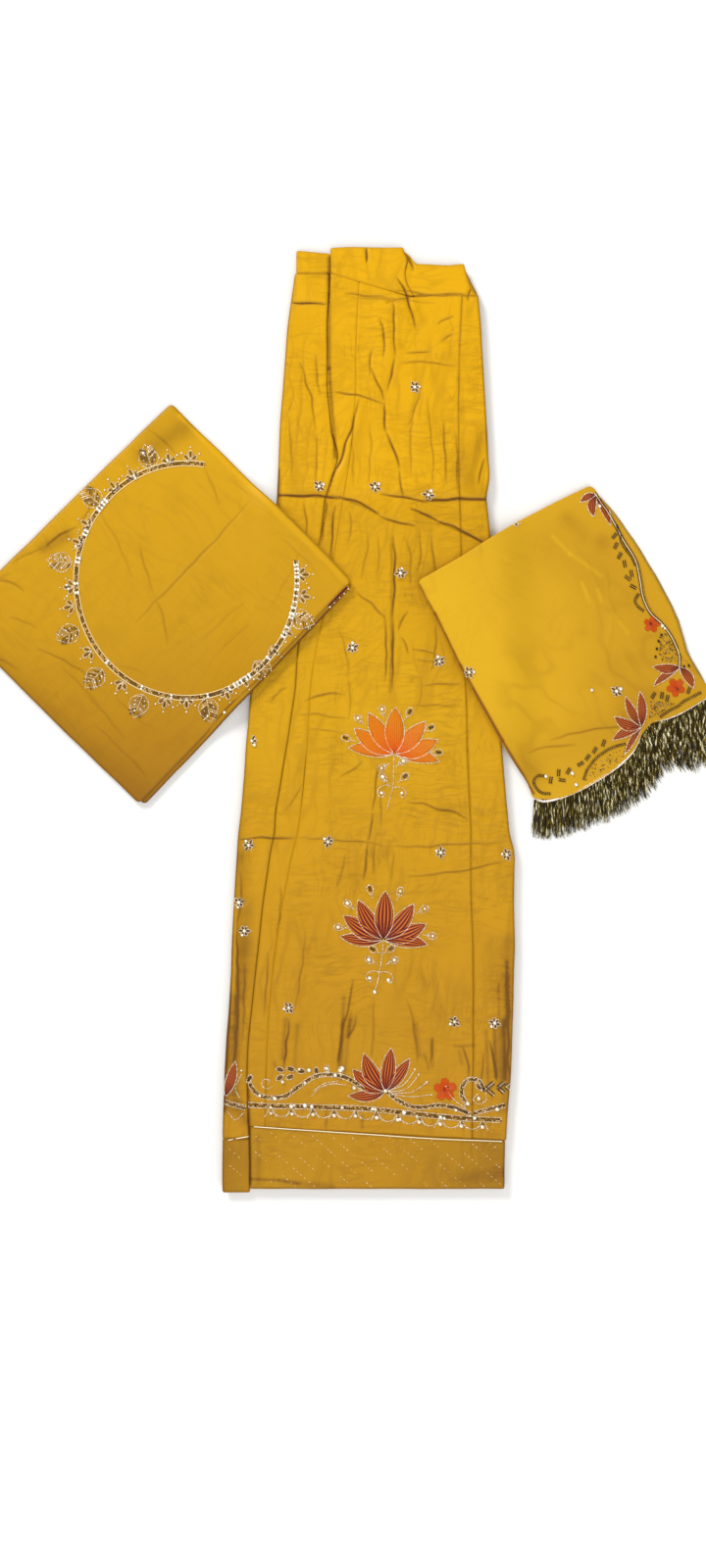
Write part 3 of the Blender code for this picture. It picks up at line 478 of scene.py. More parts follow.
def crushed(places, rows):
    """(rise, tone) of crinkles in patches, their lines along each row's heading; tone is painted shade."""
    rise = np.zeros(len(places))
    tone = np.zeros(len(places))
    for row in rows:
        heading = math.radians(row.heading)
        along = np.array((math.cos(heading), math.sin(heading)))
        side = np.array((-along[1], along[0]))
        for i, place in enumerate(places):
            spot = Vector((*place, 40 * row.seed))
            patch = noise.noise(spot / row.patch) - PATCH_FROM
            if patch < 0:
                continue
            bent = place + CRUSH_BEND * np.array(noise.noise_vector(spot / CRUSH_BEND_LENGTH)[:2])
            level = noise.noise(Vector((bent @ along / row.along, bent @ side / row.across, 9 * row.seed)))
            line = math.exp(-((level / row.narrow) ** 2)) * min(1, patch / PATCH_FADE)
            rise[i] -= row.depth * line
            tone[i] = max(tone[i], line * row.depth * (row.narrow < 0.2))
    return rise, tone


def soft_step(share):
    share = np.clip(share, 0, 1)
    return share * share * (3 - 2 * share)


SIDE_RIDGE = 0.42
# The width of the painted shade line along a crease's trough.
CREASE_SHADE_WIDTH = 1.15
DEPTHS = {"skirt": 1.1, "blouse": 0.58, "veil": 1.3}
WOBBLE = 2.2
WOBBLE_LENGTH = 17.0


def wobbled(places):
    """Places as a crease sees them: its line wavers a little wherever it runs."""
    shifts = [noise.noise_vector(Vector((x, y, 7)) / WOBBLE_LENGTH)[:2] for x, y in places]
    return places + WOBBLE * np.array(shifts)


def creased(places, creases):
    """(rise, tone) at each place: the summed creases, and painted shade from 0 to 1, deepest in a trough."""
    rise = np.zeros(len(places))
    tone = np.zeros(len(places))
    for crease in map(Crease._make, creases):
        start = np.array((crease.x0, crease.y0))
        way = np.array((crease.x1, crease.y1)) - start
        length = np.linalg.norm(way)
        way = way / length
        reach = 5 * crease.width + abs(crease.bow)
        low = np.minimum(start, start + way * length) - reach
        high = np.maximum(start, start + way * length) + reach
        near = np.flatnonzero(((places > low) & (places < high)).all(1))
        offset = places[near] - start
        share = np.clip(offset @ way / length, 0, 1)
        side = offset @ np.array((-way[1], way[0])) - crease.bow * 4 * share * (1 - share)
        ends = np.sin(np.pi * share) ** 0.45
        trough = np.exp(-((side / crease.width) ** 2))
        ridge = np.exp(-(((side - 2.2 * crease.width) / (1.5 * crease.width)) ** 2))
        rise[near] += crease.rise * ends * (trough - SIDE_RIDGE * ridge * (crease.rise < 0))
        # A trough also takes painted shade, which darkens the colour there.
        if crease.rise < 0:
            core = np.exp(-((side / min(crease.width, CREASE_SHADE_WIDTH)) ** 2))
            tone[near] = np.maximum(tone[near], ends * core * min(1, -0.9 * crease.rise))
    return rise, tone


def shaded(places, shades):
    """How much painted shade, or below zero painted highlight, each place takes from broad soft strips."""
    tone = np.zeros(len(places))
    for shade in map(Shade._make, shades):
        start = np.array((shade.x0, shade.y0))
        way = np.array((shade.x1, shade.y1)) - start
        share = np.clip((places - start) @ way / (way @ way), 0, 1)
        distance = np.linalg.norm(places - start - share[:, None] * way, axis=1)
        tone += shade.amount * np.exp(-((distance / shade.wide) ** 2))
    return tone


FOLDS = {
    "skirt": (SKIRT_CREASES, SKIRT_CRUSH),
    "blouse": (BLOUSE_CREASES, BLOUSE_CRUSH),
    "veil": (VEIL_CREASES, VEIL_CRUSH),
}


def folded(places, garment):
    """(rise, tone) at each place of a garment's upper side, from all its creases and crinkles."""
    creases, crush = FOLDS[garment]
    rise, tone = creased(wobbled(places), creases)
    small_rise, small_tone = crushed(places, crush)
    depth = DEPTHS[garment]
    # The tone is painted shade, from the creases' troughs and the narrow crinkles.
    return depth * rise + small_rise, np.maximum(depth * tone, 0.5 * small_tone)


# %% [markdown]
# A panel's shell is closed: the creased upper side, a rounded rim, and a plain underside with fewer points,
# which nobody sees. The rim rolls down a little, as a folded or sewn edge does, and the cloth also heaves
# slowly between the creases, from a noise field whose height is a part of a millimetre.

# %% A closed shell for each panel
WALL = 1.2
FINE = 1.6
COARSE = 9.0
RIM_BULGE = 0.4
HEAVE = 0.28
HEAVE_LENGTH = 26.0
TROUGH_LIMIT = -0.9
INLAND = 4.0
RISE_AT_RIM = 0.35
# How far the painted shadow along a panel's rim reaches.
RIM_SHADE_REACH = 1.8
# A base painted shade on every upper side, which strips below zero lighten.
BASE_PAINTED_SHADE = 0.12
GROWN = {"skirt": 0.0, "blouse": 1.6, "veil": 2.4}
WORN = {"skirt": 1, "blouse": 3, "veil": 3}
# Painted shade on each garment's rounded rim and underside.
SIDE_PAINTED_SHADE = {"skirt": 0.6, "blouse": 0.5, "veil": 0.2}

# In the table, rim is how much painted shadow darkens the upper side along the panel's edge.
Panel = namedtuple("Panel", "name node garment slot drop reach rolled rim wall", defaults=(WALL,))
PANELS = (
    Panel("skirt_kali_under", "kali_under", "skirt", "satin", 0.9, 2.6, 3.4, 0.5),
    Panel("skirt_kali_left", "kali_left", "skirt", "satin", 0.45, 1.6, 1.0, 0.12),
    Panel("skirt_kali_centre", "kali_centre", "skirt", "satin", 0.4, 1.5, 1.0, 0.12),
    Panel("skirt_kali_right", "kali_right", "skirt", "satin", 0.7, 2.2, 3.4, 0.5),
    Panel("skirt_waistband_left", "waistband_left", "skirt", "satin", 0.6, 2.0, 3.4, 0.25),
    Panel("skirt_waistband_middle", "waistband_middle", "skirt", "satin", 0.6, 2.0, 3.4, 0.25),
    Panel("skirt_waistband_right", "waistband_right", "skirt", "satin", 0.6, 2.0, 3.4, 0.25),
    Panel("skirt_hem_band_under", "hem_band_under", "skirt", "satin_hem", 0.8, 2.2, 3.4, 0.45),
    Panel("skirt_hem_band", "hem_band", "skirt", "satin_hem", 0.8, 2.2, 3.4, 0.45),
    Panel("blouse_second_fold_cloth", "blouse_second_fold", "blouse", "satin", 0.4, 1.0, 1.3, 0.85, 1.0),
    Panel("blouse_front_cloth", "blouse_front", "blouse", "satin", 1.0, 3.0, 3.4, 0.35),
    Panel("veil_top_cloth", "veil_top", "veil", "chiffon", 0.3, 1.6, 2.6, 0.0),
)


def heaved(places):
    return np.array([HEAVE * noise.noise(Vector((x, y, 0)) / HEAVE_LENGTH) for x, y in places])


def rim_drop(distance, drop, reach):
    return drop * (1 - soft_step(distance / reach))


def outward_ways(ring):
    """For each place of an anticlockwise ring, the direction away from what it holds."""
    way = np.roll(ring, -1, axis=0) - np.roll(ring, 1, axis=0)
    way = way / np.linalg.norm(way, axis=1)[:, None]
    return np.column_stack([way[:, 1], -way[:, 0]])


def add_places(mesh, places, heights):
    return [mesh.verts.new((x * MM, y * MM, z * MM)) for (x, y), z in zip(places, heights)]


def join_rings(mesh, upper, lower):
    for i in range(len(upper)):
        after = (i + 1) % len(upper)
        mesh.faces.new((upper[i], lower[i], lower[after], upper[after]))


def add_lids(mesh, upper, top_faces, lower, under_faces):
    """The triangles of an upper side, and those of an underside, which looks down."""
    for a, b, c in top_faces:
        mesh.faces.new((upper[a], upper[b], upper[c]))
    for a, b, c in under_faces:
        mesh.faces.new((lower[c], lower[b], lower[a]))


def finished(name, mesh):
    """A smooth-shaded piece made from a bmesh."""
    data = bpy.data.meshes.new(name)
    mesh.to_mesh(data)
    mesh.free()
    data.shade_smooth()
    pieces[name] = piece = linked(name, data)
    print(f"{name}: {len(data.polygons)} faces")
    return piece


def set_painted_shade(piece, values):
    piece.data.attributes.new("pinch", "FLOAT", "POINT").data.foreach_set("value", values)


pieces = {}
skins = {}


def build_panel(panel):
    plain = smooth_outline(upper_rim(panel.node), FINE)
    ring = wandered(plain, panel.garment)
    ring = worn(ring + GROWN[panel.garment] * outward_ways(ring), WORN[panel.garment])
    top, top_faces = triangles_in(ring, FINE)
    under, under_faces = triangles_in(ring, COARSE)
    distance = rim_distance(top, ring)
    base = solid_heights(panel.node, top, top_faces, rim_distance(top, plain), panel.rolled)
    base -= rim_drop(distance, panel.drop, panel.reach)
    rise, tone = folded(top, panel.garment)
    inland = soft_step(distance / INLAND)
    rise = np.maximum(rise + heaved(top), TROUGH_LIMIT) * (RISE_AT_RIM + (1 - RISE_AT_RIM) * inland)
    low = base[nearest(under, top)] - panel.wall

    mesh = bmesh.new()
    upper = add_places(mesh, top, base + rise)
    lower = add_places(mesh, under, low)
    count = len(ring)
    middle_z = 0.5 * ((base + rise)[:count] + low[:count])
    middle = add_places(mesh, ring + RIM_BULGE * outward_ways(ring), middle_z)
    add_lids(mesh, upper, top_faces, lower, under_faces)
    join_rings(mesh, upper[:count], middle)
    join_rings(mesh, middle, lower[:count])
    piece = finished(panel.name, mesh)
    # The upper side's painted shade: its creases, a painted shadow along the rim, and the broad strips.
    depth = np.zeros(len(piece.data.vertices))
    depth[: len(top)] = BASE_PAINTED_SHADE + np.maximum(tone, panel.rim * np.exp(-((distance / RIM_SHADE_REACH) ** 2)))
    depth[: len(top)] += shaded(top, SHADES[panel.garment])
    depth[len(top) :] = SIDE_PAINTED_SHADE[panel.garment]
    set_painted_shade(piece, depth)
    skins[panel.name] = (top, base + rise, top_faces)


for panel in PANELS:
    build_panel(panel)

# %% [markdown]
# Under each garment's top panels lie its hidden layers. They are one solid in the CAD part, grooved once per
# layer, and here the same pile gets more and thinner layers, whose folded edges stand out unevenly. From
# above, a pile's outline is the furthest place of its solid in each direction.

# %% Piles of folded layers
# In the table, edge is the painted shade on the pile's layered edges.
Pile = namedtuple("Pile", "name node slot layers spacing evening lowered edge uneven overhang")
PILES = (
    Pile("skirt_folded_layers", "skirt_under_layers", "satin", 8, 12.0, 0, 0.25, 0.5, 1.5, 0),
    Pile("blouse_folded_layers", "blouse_under_layers", "satin", 5, 12.0, 0, 0.25, 0.65, 1.5, 0),
    Pile("veil_folded_layers", "veil_under_layers", "chiffon", 12, 3.0, 34, 0.0, 0.05, 0.4, 0.25),
)
DIRECTIONS = 1600
PILE_STEP = 3.0
PILE_INSET = 4.4
UNDER_INSET = 2.5
UNDER_STEP = 14.0
GROOVE = 1.3
LAYER_WAVE = 0.9
LAYER_WAVE_LENGTH = 24
DEEPEST = 3.2


def silhouette(node):
    """The furthest place of a node from its middle, for each of many directions seen from above."""
    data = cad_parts[node].data
    places = np.array([(v.co.x, v.co.y) for v in data.vertices]) / MM
    middle = (places.min(0) + places.max(0)) / 2
    ends = np.array([tuple(edge.vertices) for edge in data.edges])
    a, b = places[ends[:, 0]] - middle, places[ends[:, 1]] - middle
    ring = []
    for angle in np.linspace(-np.pi, np.pi, DIRECTIONS, endpoint=False):
        way = np.array((math.cos(angle), math.sin(angle)))
        side_a, side_b = a[:, 1] * way[0] - a[:, 0] * way[1], b[:, 1] * way[0] - b[:, 0] * way[1]
        meets = (side_a > 0) != (side_b > 0)
        share = side_a[meets] / (side_a[meets] - side_b[meets])
        far = ((1 - share) * (a[meets] @ way) + share * (b[meets] @ way)).max()
        ring.append(middle + way * far)
    return np.array(ring)


def thinned(ring, spacing):
    """The places of a ring that are at least one spacing apart."""
    kept = [ring[0]]
    for place in ring[1:]:
        if np.linalg.norm(place - kept[-1]) >= spacing:
            kept.append(place)
    return np.array(kept)


def cast(tree, place, downwards):
    start = Vector((place[0] * MM, place[1] * MM, 1 if downwards else -1))
    hit = tree.ray_cast(start, Vector((0, 0, -1 if downwards else 1)))[0]
    return hit.z / MM if hit else None


def pile_heights(tree, places, downwards):
    found = [cast(tree, place, downwards) for place in places]
    known = [z for z in found if z is not None]
    return np.array([known[0] if z is None else z for z in found])


def build_pile(pile):
    plain = thinned(silhouette(pile.node), PILE_STEP)
    outline = wandered(plain, pile.name.split("_")[0], pile.name)
    out = outward_ways(outline)
    tree = node_tree(pile.node)
    shoulder = outline - PILE_INSET * out
    within = plain - PILE_INSET * outward_ways(plain)
    head, foot = pile_heights(tree, within, True), pile_heights(tree, within, False)
    top, top_faces = triangles_in(shoulder, pile.spacing)
    under, under_faces = triangles_in(outline - UNDER_INSET * out, UNDER_STEP)
    top_z = evened(pile_heights(tree, top, True), top_faces, pile.evening) - pile.lowered
    under_z = pile_heights(tree, under, False)
    under_z[: len(outline)] = foot

    mesh = bmesh.new()
    upper = add_places(mesh, top, top_z)
    lower = add_places(mesh, under, under_z)
    add_lids(mesh, upper, top_faces, lower, under_faces)
    above = upper[: len(outline)]
    draw = random.Random(pile.layers)
    for layer in range(pile.layers):
        set_back = pile.overhang * layer + draw.uniform(0.2, pile.uneven)
        wave = np.array([noise.noise(Vector((*place, 60 * layer)) / LAYER_WAVE_LENGTH) for place in outline])
        for inset, share in ((set_back, layer + 0.45), (set_back + GROOVE, layer + 0.95)):
            if layer == pile.layers - 1 and share > layer + 0.9:
                continue
            inset = np.clip(inset + LAYER_WAVE * wave, 0, DEEPEST)[:, None]
            z = head + (foot - head) * share / pile.layers
            ring = add_places(mesh, outline - inset * out, z)
            join_rings(mesh, above, ring)
            above = ring
    join_rings(mesh, above, lower[: len(outline)])
    piece = finished(pile.name, mesh)
    # Painted shade on the layered edges, and the garment's strips of painted shade and highlight.
    pinch = np.zeros(len(piece.data.vertices))
    flat_places = np.array([vertex.co.xy for vertex in piece.data.vertices]) / MM
    pinch[len(top) :] = pile.edge
    pinch += shaded(flat_places, SHADES[pile.name.split("_")[0]])
    set_painted_shade(piece, pinch)
    if pile.node == "veil_under_layers":
        skins[pile.name] = (top, top_z, top_faces)


for pile in PILES:
    build_pile(pile)

# %% [markdown]
# The satin's colour mixes its open gold with a dark red-brown by a value kept on the mesh: painted shade in
# creases, along rims and in broad strips, and painted highlight where it falls below its base. The weave and
# the crush of the cloth are the same effect on every panel with other values, so each is a node group: it is
# built once, and puts out a height that a Bump node turns into the surface's normal.

# %% Helpers for material nodes
VALUE, COLOUR, VECTOR = "NodeSocketFloat", "NodeSocketColor", "NodeSocketVector"


def new_group(name, inputs, outputs, kind="ShaderNodeTree"):
    """A node group whose sockets are rows of a label, a kind and a first value, with both its ends."""
    tree = bpy.data.node_groups.new(name, kind)
    for way, sockets in (("INPUT", inputs), ("OUTPUT", outputs)):
        for label, holds, value in sockets:
            socket = tree.interface.new_socket(label, in_out=way, socket_type=holds)
            if value is not None:
                socket.default_value = value
    return tree, tree.nodes.new("NodeGroupInput").outputs, tree.nodes.new("NodeGroupOutput").inputs


def set_inputs(node, **values):
    """Set a node's inputs by name, with underscores for spaces."""
    for key, value in values.items():
        node.inputs[key.replace("_", " ")].default_value = value


def wired(tree, kind, links=None, **values):
    """A node with its properties and inputs set by name, and inputs joined to outputs by name or number."""
    node = tree.nodes.new(kind)
    for key, value in values.items():
        if hasattr(node, key):
            setattr(node, key, value)
        else:
            set_inputs(node, **{key: value})
    for key, output in (links or {}).items():
        tree.links.new(output, node.inputs[key])
    return node


def joined(tree, socket, value):
    """Give an input an output or a number."""
    if isinstance(value, bpy.types.NodeSocket):
        tree.links.new(value, socket)
    else:
        socket.default_value = value


def maths(tree, operation, first, second):
    """A Math node between two outputs or numbers, as its output."""
    node = wired(tree, "ShaderNodeMath", operation=operation)
    joined(tree, node.inputs[0], first)
    joined(tree, node.inputs[1], second)
    return node.outputs[0]


def noise_at(tree, place, scale, detail, **values):
    """The noise at a place, as an output."""
    values.update(Scale=scale, Detail=detail)
    return wired(tree, "ShaderNodeTexNoise", {"Vector": place}, **values).outputs["Fac"]


def mapped(tree, place, **values):
    """A place turned, moved or stretched, as an output."""
    return wired(tree, "ShaderNodeMapping", {"Vector": place}, **values).outputs[0]


# %% The weave: threads over and under, too fine to count from a step away
def build_weave_group():
    sockets = (("Place", VECTOR, None), ("Thread", VALUE, 0.0005), ("Crush", VALUE, 0.5))
    tree, given, out = new_group("woven ground", sockets, (("Height", VALUE, None),))
    links = {0: given["Place"], "Scale": maths(tree, "DIVIDE", 1.0, given["Thread"])}
    scaled = wired(tree, "ShaderNodeVectorMath", links, operation="SCALE")
    threads = []
    for axis in ("X", "Y"):
        values = {"bands_direction": axis, "Scale": 0.314, "Distortion": 0.6}
        wave = wired(tree, "ShaderNodeTexWave", {"Vector": scaled.outputs[0]}, **values)
        threads.append(wave.outputs["Fac"])
    woven = maths(tree, "MULTIPLY", maths(tree, "MAXIMUM", *threads), 0.12)
    crush = noise_at(tree, mapped(tree, given["Place"], Scale=(110, 380, 200)), 1.0, 3.0, Roughness=0.55)
    height = maths(tree, "ADD", maths(tree, "MULTIPLY", crush, given["Crush"]), woven)
    tree.links.new(height, out["Height"])
    return tree


# %% Fine crinkles: thin lines where a stretched noise crosses its middle, for bump and painted shade
def build_crinkle_group():
    sockets = (("Place", VECTOR, None), ("Across", VALUE, 0.5), ("Down", VALUE, 0.5))
    tree, given, out = new_group("fine crinkles", sockets, (("Lines", VALUE, None),))
    warp = wired(tree, "ShaderNodeTexNoise", {"Vector": given["Place"]}, Scale=34.0, Detail=1.0)
    links = {0: warp.outputs["Color"], 2: given["Place"]}
    bent = wired(tree, "ShaderNodeVectorMath", links, operation="MULTIPLY_ADD")
    bent.inputs[1].default_value = (0.014, 0.014, 0)
    found = []
    for amount, stretch, shift in (("Across", (16, 105, 1), 0.0), ("Down", (120, 22, 1), 7.0)):
        spread = mapped(tree, bent.outputs[0], Location=(shift, shift, shift), Scale=stretch)
        level = maths(tree, "SUBTRACT", noise_at(tree, spread, 1.0, 1.5), 0.5)
        level = maths(tree, "DIVIDE", maths(tree, "ABSOLUTE", level, 0.0), 0.045)
        thin = maths(tree, "SUBTRACT", 1.0, maths(tree, "MINIMUM", level, 1.0))
        cloud = noise_at(tree, bent.outputs[0], 13.0 + shift, 1.0)
        patch = wired(tree, "ShaderNodeMapRange", {"Value": cloud}, From_Min=0.48, From_Max=0.66)
        line = maths(tree, "MULTIPLY", thin, patch.outputs[0])
        found.append(maths(tree, "MULTIPLY", line, given[amount]))
    tree.links.new(maths(tree, "MAXIMUM", *found), out["Lines"])
    return tree


# %% The cloth's open colour, and the dark one that its painted shade mixes in
def build_tone_group():
    sockets = (
        ("Open", COLOUR, (0.7, 0.36, 0.01, 1)),
        ("Pinched", COLOUR, (0.3, 0.12, 0.01, 1)),
        ("Place", VECTOR, None),
        ("Lines", VALUE, 0.0),
        ("Slub", VALUE, 0.06),
    )
    tree, given, out = new_group("shot tone", sockets, (("Color", COLOUR, None),))
    # The mix share: the mesh's painted shade, a random unevenness of the cloth's own tone, and crinkle lines.
    pinch = wired(tree, "ShaderNodeAttribute", attribute_name="pinch").outputs["Fac"]
    cloudy = noise_at(tree, given["Place"], 22.0, 2.0)
    slub = noise_at(tree, mapped(tree, given["Place"], Scale=(40, 900, 40)), 1.0, 2.0)
    uneven = maths(tree, "SUBTRACT", maths(tree, "ADD", cloudy, slub), 0.9)
    uneven = maths(tree, "MULTIPLY", uneven, given["Slub"])
    share = maths(tree, "ADD", maths(tree, "ADD", pinch, uneven), given["Lines"])
    links = {"Factor": share, "A": given["Open"], "B": given["Pinched"]}
    mix = wired(tree, "ShaderNodeMix", links, data_type="RGBA")
    tree.links.new(mix.outputs["Result"], out["Color"])
    return tree


crinkle_group = build_crinkle_group()
weave_group = build_weave_group()
tone_group = build_tone_group()
print("node groups:", [tree.name for tree in bpy.data.node_groups])


# %% What every finish is made with
def linear(red, green, blue):
    """A screen colour, from 0 to 255, as the light values that a shader takes."""
    found = []
    for part in (red / 255, green / 255, blue / 255):
        found.append(part / 12.92 if part <= 0.04045 else ((part + 0.055) / 1.055) ** 2.4)
    return (*found, 1.0)


def new_material(name):
    """A material, its node tree and its shader."""
    material = bpy.data.materials.new(name)
    material.use_nodes = True
    return material, material.node_tree, material.node_tree.nodes["Principled BSDF"]


def add_ramp(tree, factor, stops):
    """A colour ramp over a factor, from rows of a place and a screen colour, as its output."""
    ramp = wired(tree, "ShaderNodeValToRGB", {"Fac": factor})
    elements = ramp.color_ramp.elements
    elements[1].position = stops[-1][0]
    for at, _ in stops[1:-1]:
        elements.new(at)
    for element, (_, colour) in zip(elements, stops):
        element.color = linear(*colour)
    return ramp.outputs["Color"]


def finish_shader(tree, shader, colour, height, strength, distance, **values):
    """Join a colour and a bump of a height to a shader, and set its other inputs."""
    bump = wired(tree, "ShaderNodeBump", {"Height": height}, Strength=strength, Distance=distance)
    tree.links.new(bump.outputs[0], shader.inputs["Normal"])
    tree.links.new(colour, shader.inputs["Base Color"])
    set_inputs(shader, **values)


# %% One recipe for every cloth, with its own values
# Colour along one axis, with painted shade from the light's falloff towards lower and outer parts.
SATIN_COLOUR_AND_FALLOFF = (
    (-450, (186, 132, 8)), (-250, (194, 140, 6)), (0, (212, 159, 4)),
    (225, (214, 159, 3)), (255, (229, 171, 1)), (500, (233, 174, 0)),
)
BLOUSE_COLOUR_AND_FALLOFF = ((-90, (156, 105, 8)), (0, (178, 127, 8)), (110, (199, 148, 10)), (330, (214, 162, 12)))
HEM_COLOUR_AND_FALLOFF = ((-130, (148, 102, 6)), (-80, (182, 132, 8)), (60, (178, 127, 8)), (185, (160, 113, 8)))
VEIL_COLOUR_AND_FALLOFF = ((95, (218, 171, 26)), (240, (211, 162, 24)), (340, (196, 147, 22)))
Cloth = namedtuple("Cloth", "name axis tones pinched thread crush bump roughness sheen turn across down")
# Each cloth's second colour is the dark red-brown that painted shade mixes towards.
CLOTHS = (
    Cloth("mustard satin", "Y", SATIN_COLOUR_AND_FALLOFF, (100, 58, 4), 0.0005, 0.5, 0.35, 0.4, 0.12, 0, 0.18, 0.16),
    Cloth("blouse satin", "Y", BLOUSE_COLOUR_AND_FALLOFF, (100, 56, 6), 0.0005, 0.35, 0.3, 0.42, 0.12, 45, 0.1, 0.05),
    Cloth("hem satin", "X", HEM_COLOUR_AND_FALLOFF, (96, 52, 6), 0.0005, 0.3, 0.3, 0.42, 0.1, 0, 0.2, 0.12),
    Cloth("veil chiffon", "X", VEIL_COLOUR_AND_FALLOFF, (122, 70, 10), 0.0007, 0.2, 0.2, 0.62, 0.2, 28, 0.05, 0.05),
)
CLOTH_SHADER = {
    "Specular_IOR_Level": 0.5,
    "Specular_Tint": (1.0, 0.72, 0.28, 1),
    "Sheen_Roughness": 0.4,
    "Sheen_Tint": (1.0, 0.8, 0.4, 1),
}


def make_cloth(cloth):
    material, tree, shader = new_material(cloth.name)
    place = wired(tree, "ShaderNodeTexCoord").outputs["Object"]
    turned_place = mapped(tree, place, Rotation=(0, 0, math.radians(cloth.turn)))
    along = wired(tree, "ShaderNodeSeparateXYZ", {0: place}).outputs[cloth.axis]
    first, last = cloth.tones[0][0], cloth.tones[-1][0]
    share = wired(tree, "ShaderNodeMapRange", {"Value": along}, From_Min=first * MM, From_Max=last * MM)
    stops = [((at - first) / (last - first), colour) for at, colour in cloth.tones]
    links = {"Open": add_ramp(tree, share.outputs[0], stops), "Place": turned_place}
    values = {"node_tree": crinkle_group, "Across": cloth.across, "Down": cloth.down}
    lines = wired(tree, "ShaderNodeGroup", {"Place": turned_place}, **values).outputs["Lines"]
    # The crinkle lines darken the colour as painted shade, and also dent the bump height.
    links["Lines"] = lines
    tones = wired(tree, "ShaderNodeGroup", links, node_tree=tone_group, Pinched=linear(*cloth.pinched))
    values = {"node_tree": weave_group, "Thread": cloth.thread, "Crush": cloth.crush}
    weave = wired(tree, "ShaderNodeGroup", {"Place": turned_place}, **values)
    height = maths(tree, "SUBTRACT", weave.outputs["Height"], lines)
    looks = {"Roughness": cloth.roughness, "Sheen_Weight": cloth.sheen, **CLOTH_SHADER}
    finish_shader(tree, shader, tones.outputs["Color"], height, cloth.bump, 0.0008, **looks)
    return material


materials = {cloth.name: make_cloth(cloth) for cloth in CLOTHS}
GARMENT_CLOTH = {"skirt": "mustard satin", "blouse": "blouse satin", "veil": "veil chiffon"}
for entry in PANELS + PILES:
    cloth = "hem satin" if entry.slot == "satin_hem" else GARMENT_CLOTH[entry.name.split("_")[0]]
    pieces[entry.name].data.materials.append(materials[cloth])
print("cloths:", list(materials))

# %% [markdown]
# The embroidery is sewn on after the cloth is cut, so it is laid on the panels that are already made: a line
# is charted in the flat, made smooth, and dropped on the highest cloth below it. Five kinds of work are used.
# Small pale beads outline everything, dark antique beads fill the bands, bugle beads are short tubes, sequins
# are cupped discs, and a couched cord lies flat. Three Geometry Nodes trees grow them, so that a whole border
# is a few rows in a table.

# %% The cloth below a place
skin_trees = {}
for name, (places, heights, faces) in skins.items():
    corners = [(x, y, z) for (x, y), z in zip(places, heights)]
    skin_trees[name] = BVHTree.FromPolygons(corners, [tuple(face) for face in faces])
DOWN = Vector((0, 0, -1))


def cloth_top(x, y):
    """The height in millimetres of the highest cloth at a place, and the piece that it belongs to."""
    found = [(tree.ray_cast(Vector((x, y, 100)), DOWN)[0], name) for name, tree in skin_trees.items()]
    return max(((hit.z, name) for hit, name in found if hit), default=(0.0, ""))


def stretches(line, shown):
    """The unbroken stretches of those places of a line that show."""
    found, stretch = [], []
    for place, shows in zip(line, shown):
        if shows:
            stretch.append(tuple(place))
        elif stretch:
            found.append(stretch)
            stretch = []
    return found + [stretch] * bool(stretch)


def kept_on(garment, lines):
    """The stretches of lines that lie on a garment's own cloth, not below another one and not beside it."""
    kept = []
    for line in lines:
        kept += stretches(line, [cloth_top(*place)[1].startswith(garment) for place in line])
    return kept


def lined_mesh(name, lines, lift):
    """A mesh of edges along flat lines that are dropped on the cloth. A line of one place is a lone point."""
    data = bpy.data.meshes.new(name)
    places, edges = [], []
    for line in lines:
        start = len(places)
        for place in line:
            height = place[2] if len(place) == 3 else cloth_top(*place)[0] + lift
            places.append((place[0] * MM, place[1] * MM, height * MM))
        edges += [(i, i + 1) for i in range(start, len(places) - 1)]
    data.from_pydata(places, edges, [])
    return data


print("cloth in the middle:", cloth_top(40, 0))


# %% Helpers for Geometry Nodes trees
COUNT, MATERIAL, GEOMETRY = "NodeSocketInt", "NodeSocketMaterial", "NodeSocketGeometry"
GLINTS = (("Dull", VALUE, 0.0), ("Bright", VALUE, 1.0), ("Seed", COUNT, 1), ("Material", MATERIAL, None))


def new_tree(name, sizes):
    """A tree that takes lines, its own sizes and a glint, and puts out what it grows on them."""
    inputs = (("Lines", GEOMETRY, None),) + sizes + GLINTS
    return new_group(name, inputs, (("Grown", GEOMETRY, None),), "GeometryNodeTree")


def drawn_between(tree, low, high, seed, salt):
    """A random value for each point or instance, between two outputs or numbers."""
    node = tree.nodes.new("FunctionNodeRandomValue")
    for key, value in (("Min", low), ("Max", high)):
        joined(tree, next(s for s in node.inputs if s.name == key and s.type == "VALUE"), value)
    tree.links.new(maths(tree, "ADD", seed, salt), node.inputs["Seed"])
    return next(s for s in node.outputs if s.type == "VALUE")


def two_drawn(tree, given, most):
    """A random way across and up, each within plus or minus one amount."""
    least = maths(tree, "MULTIPLY", given[most], -1)
    drawn = [drawn_between(tree, least, given[most], given["Seed"], salt) for salt in (3, 4)]
    return wired(tree, "ShaderNodeCombineXYZ", {0: drawn[0], 1: drawn[1]}).outputs[0]


def charted_curve(tree, given):
    return wired(tree, "GeometryNodeMeshToCurve", {0: given["Lines"]}).outputs[0]


def pitched_curve(tree, given):
    """The charted lines as curves with places at one pitch."""
    links = {0: charted_curve(tree, given), "Length": given["Pitch"]}
    return wired(tree, "GeometryNodeResampleCurve", links, mode="LENGTH").outputs[0]


def placed(tree, points, instance, rotation, size):
    """One instance on every point."""
    links = {"Points": points, "Instance": instance.outputs[0], "Rotation": rotation, "Scale": size}
    return wired(tree, "GeometryNodeInstanceOnPoints", links).outputs[0]


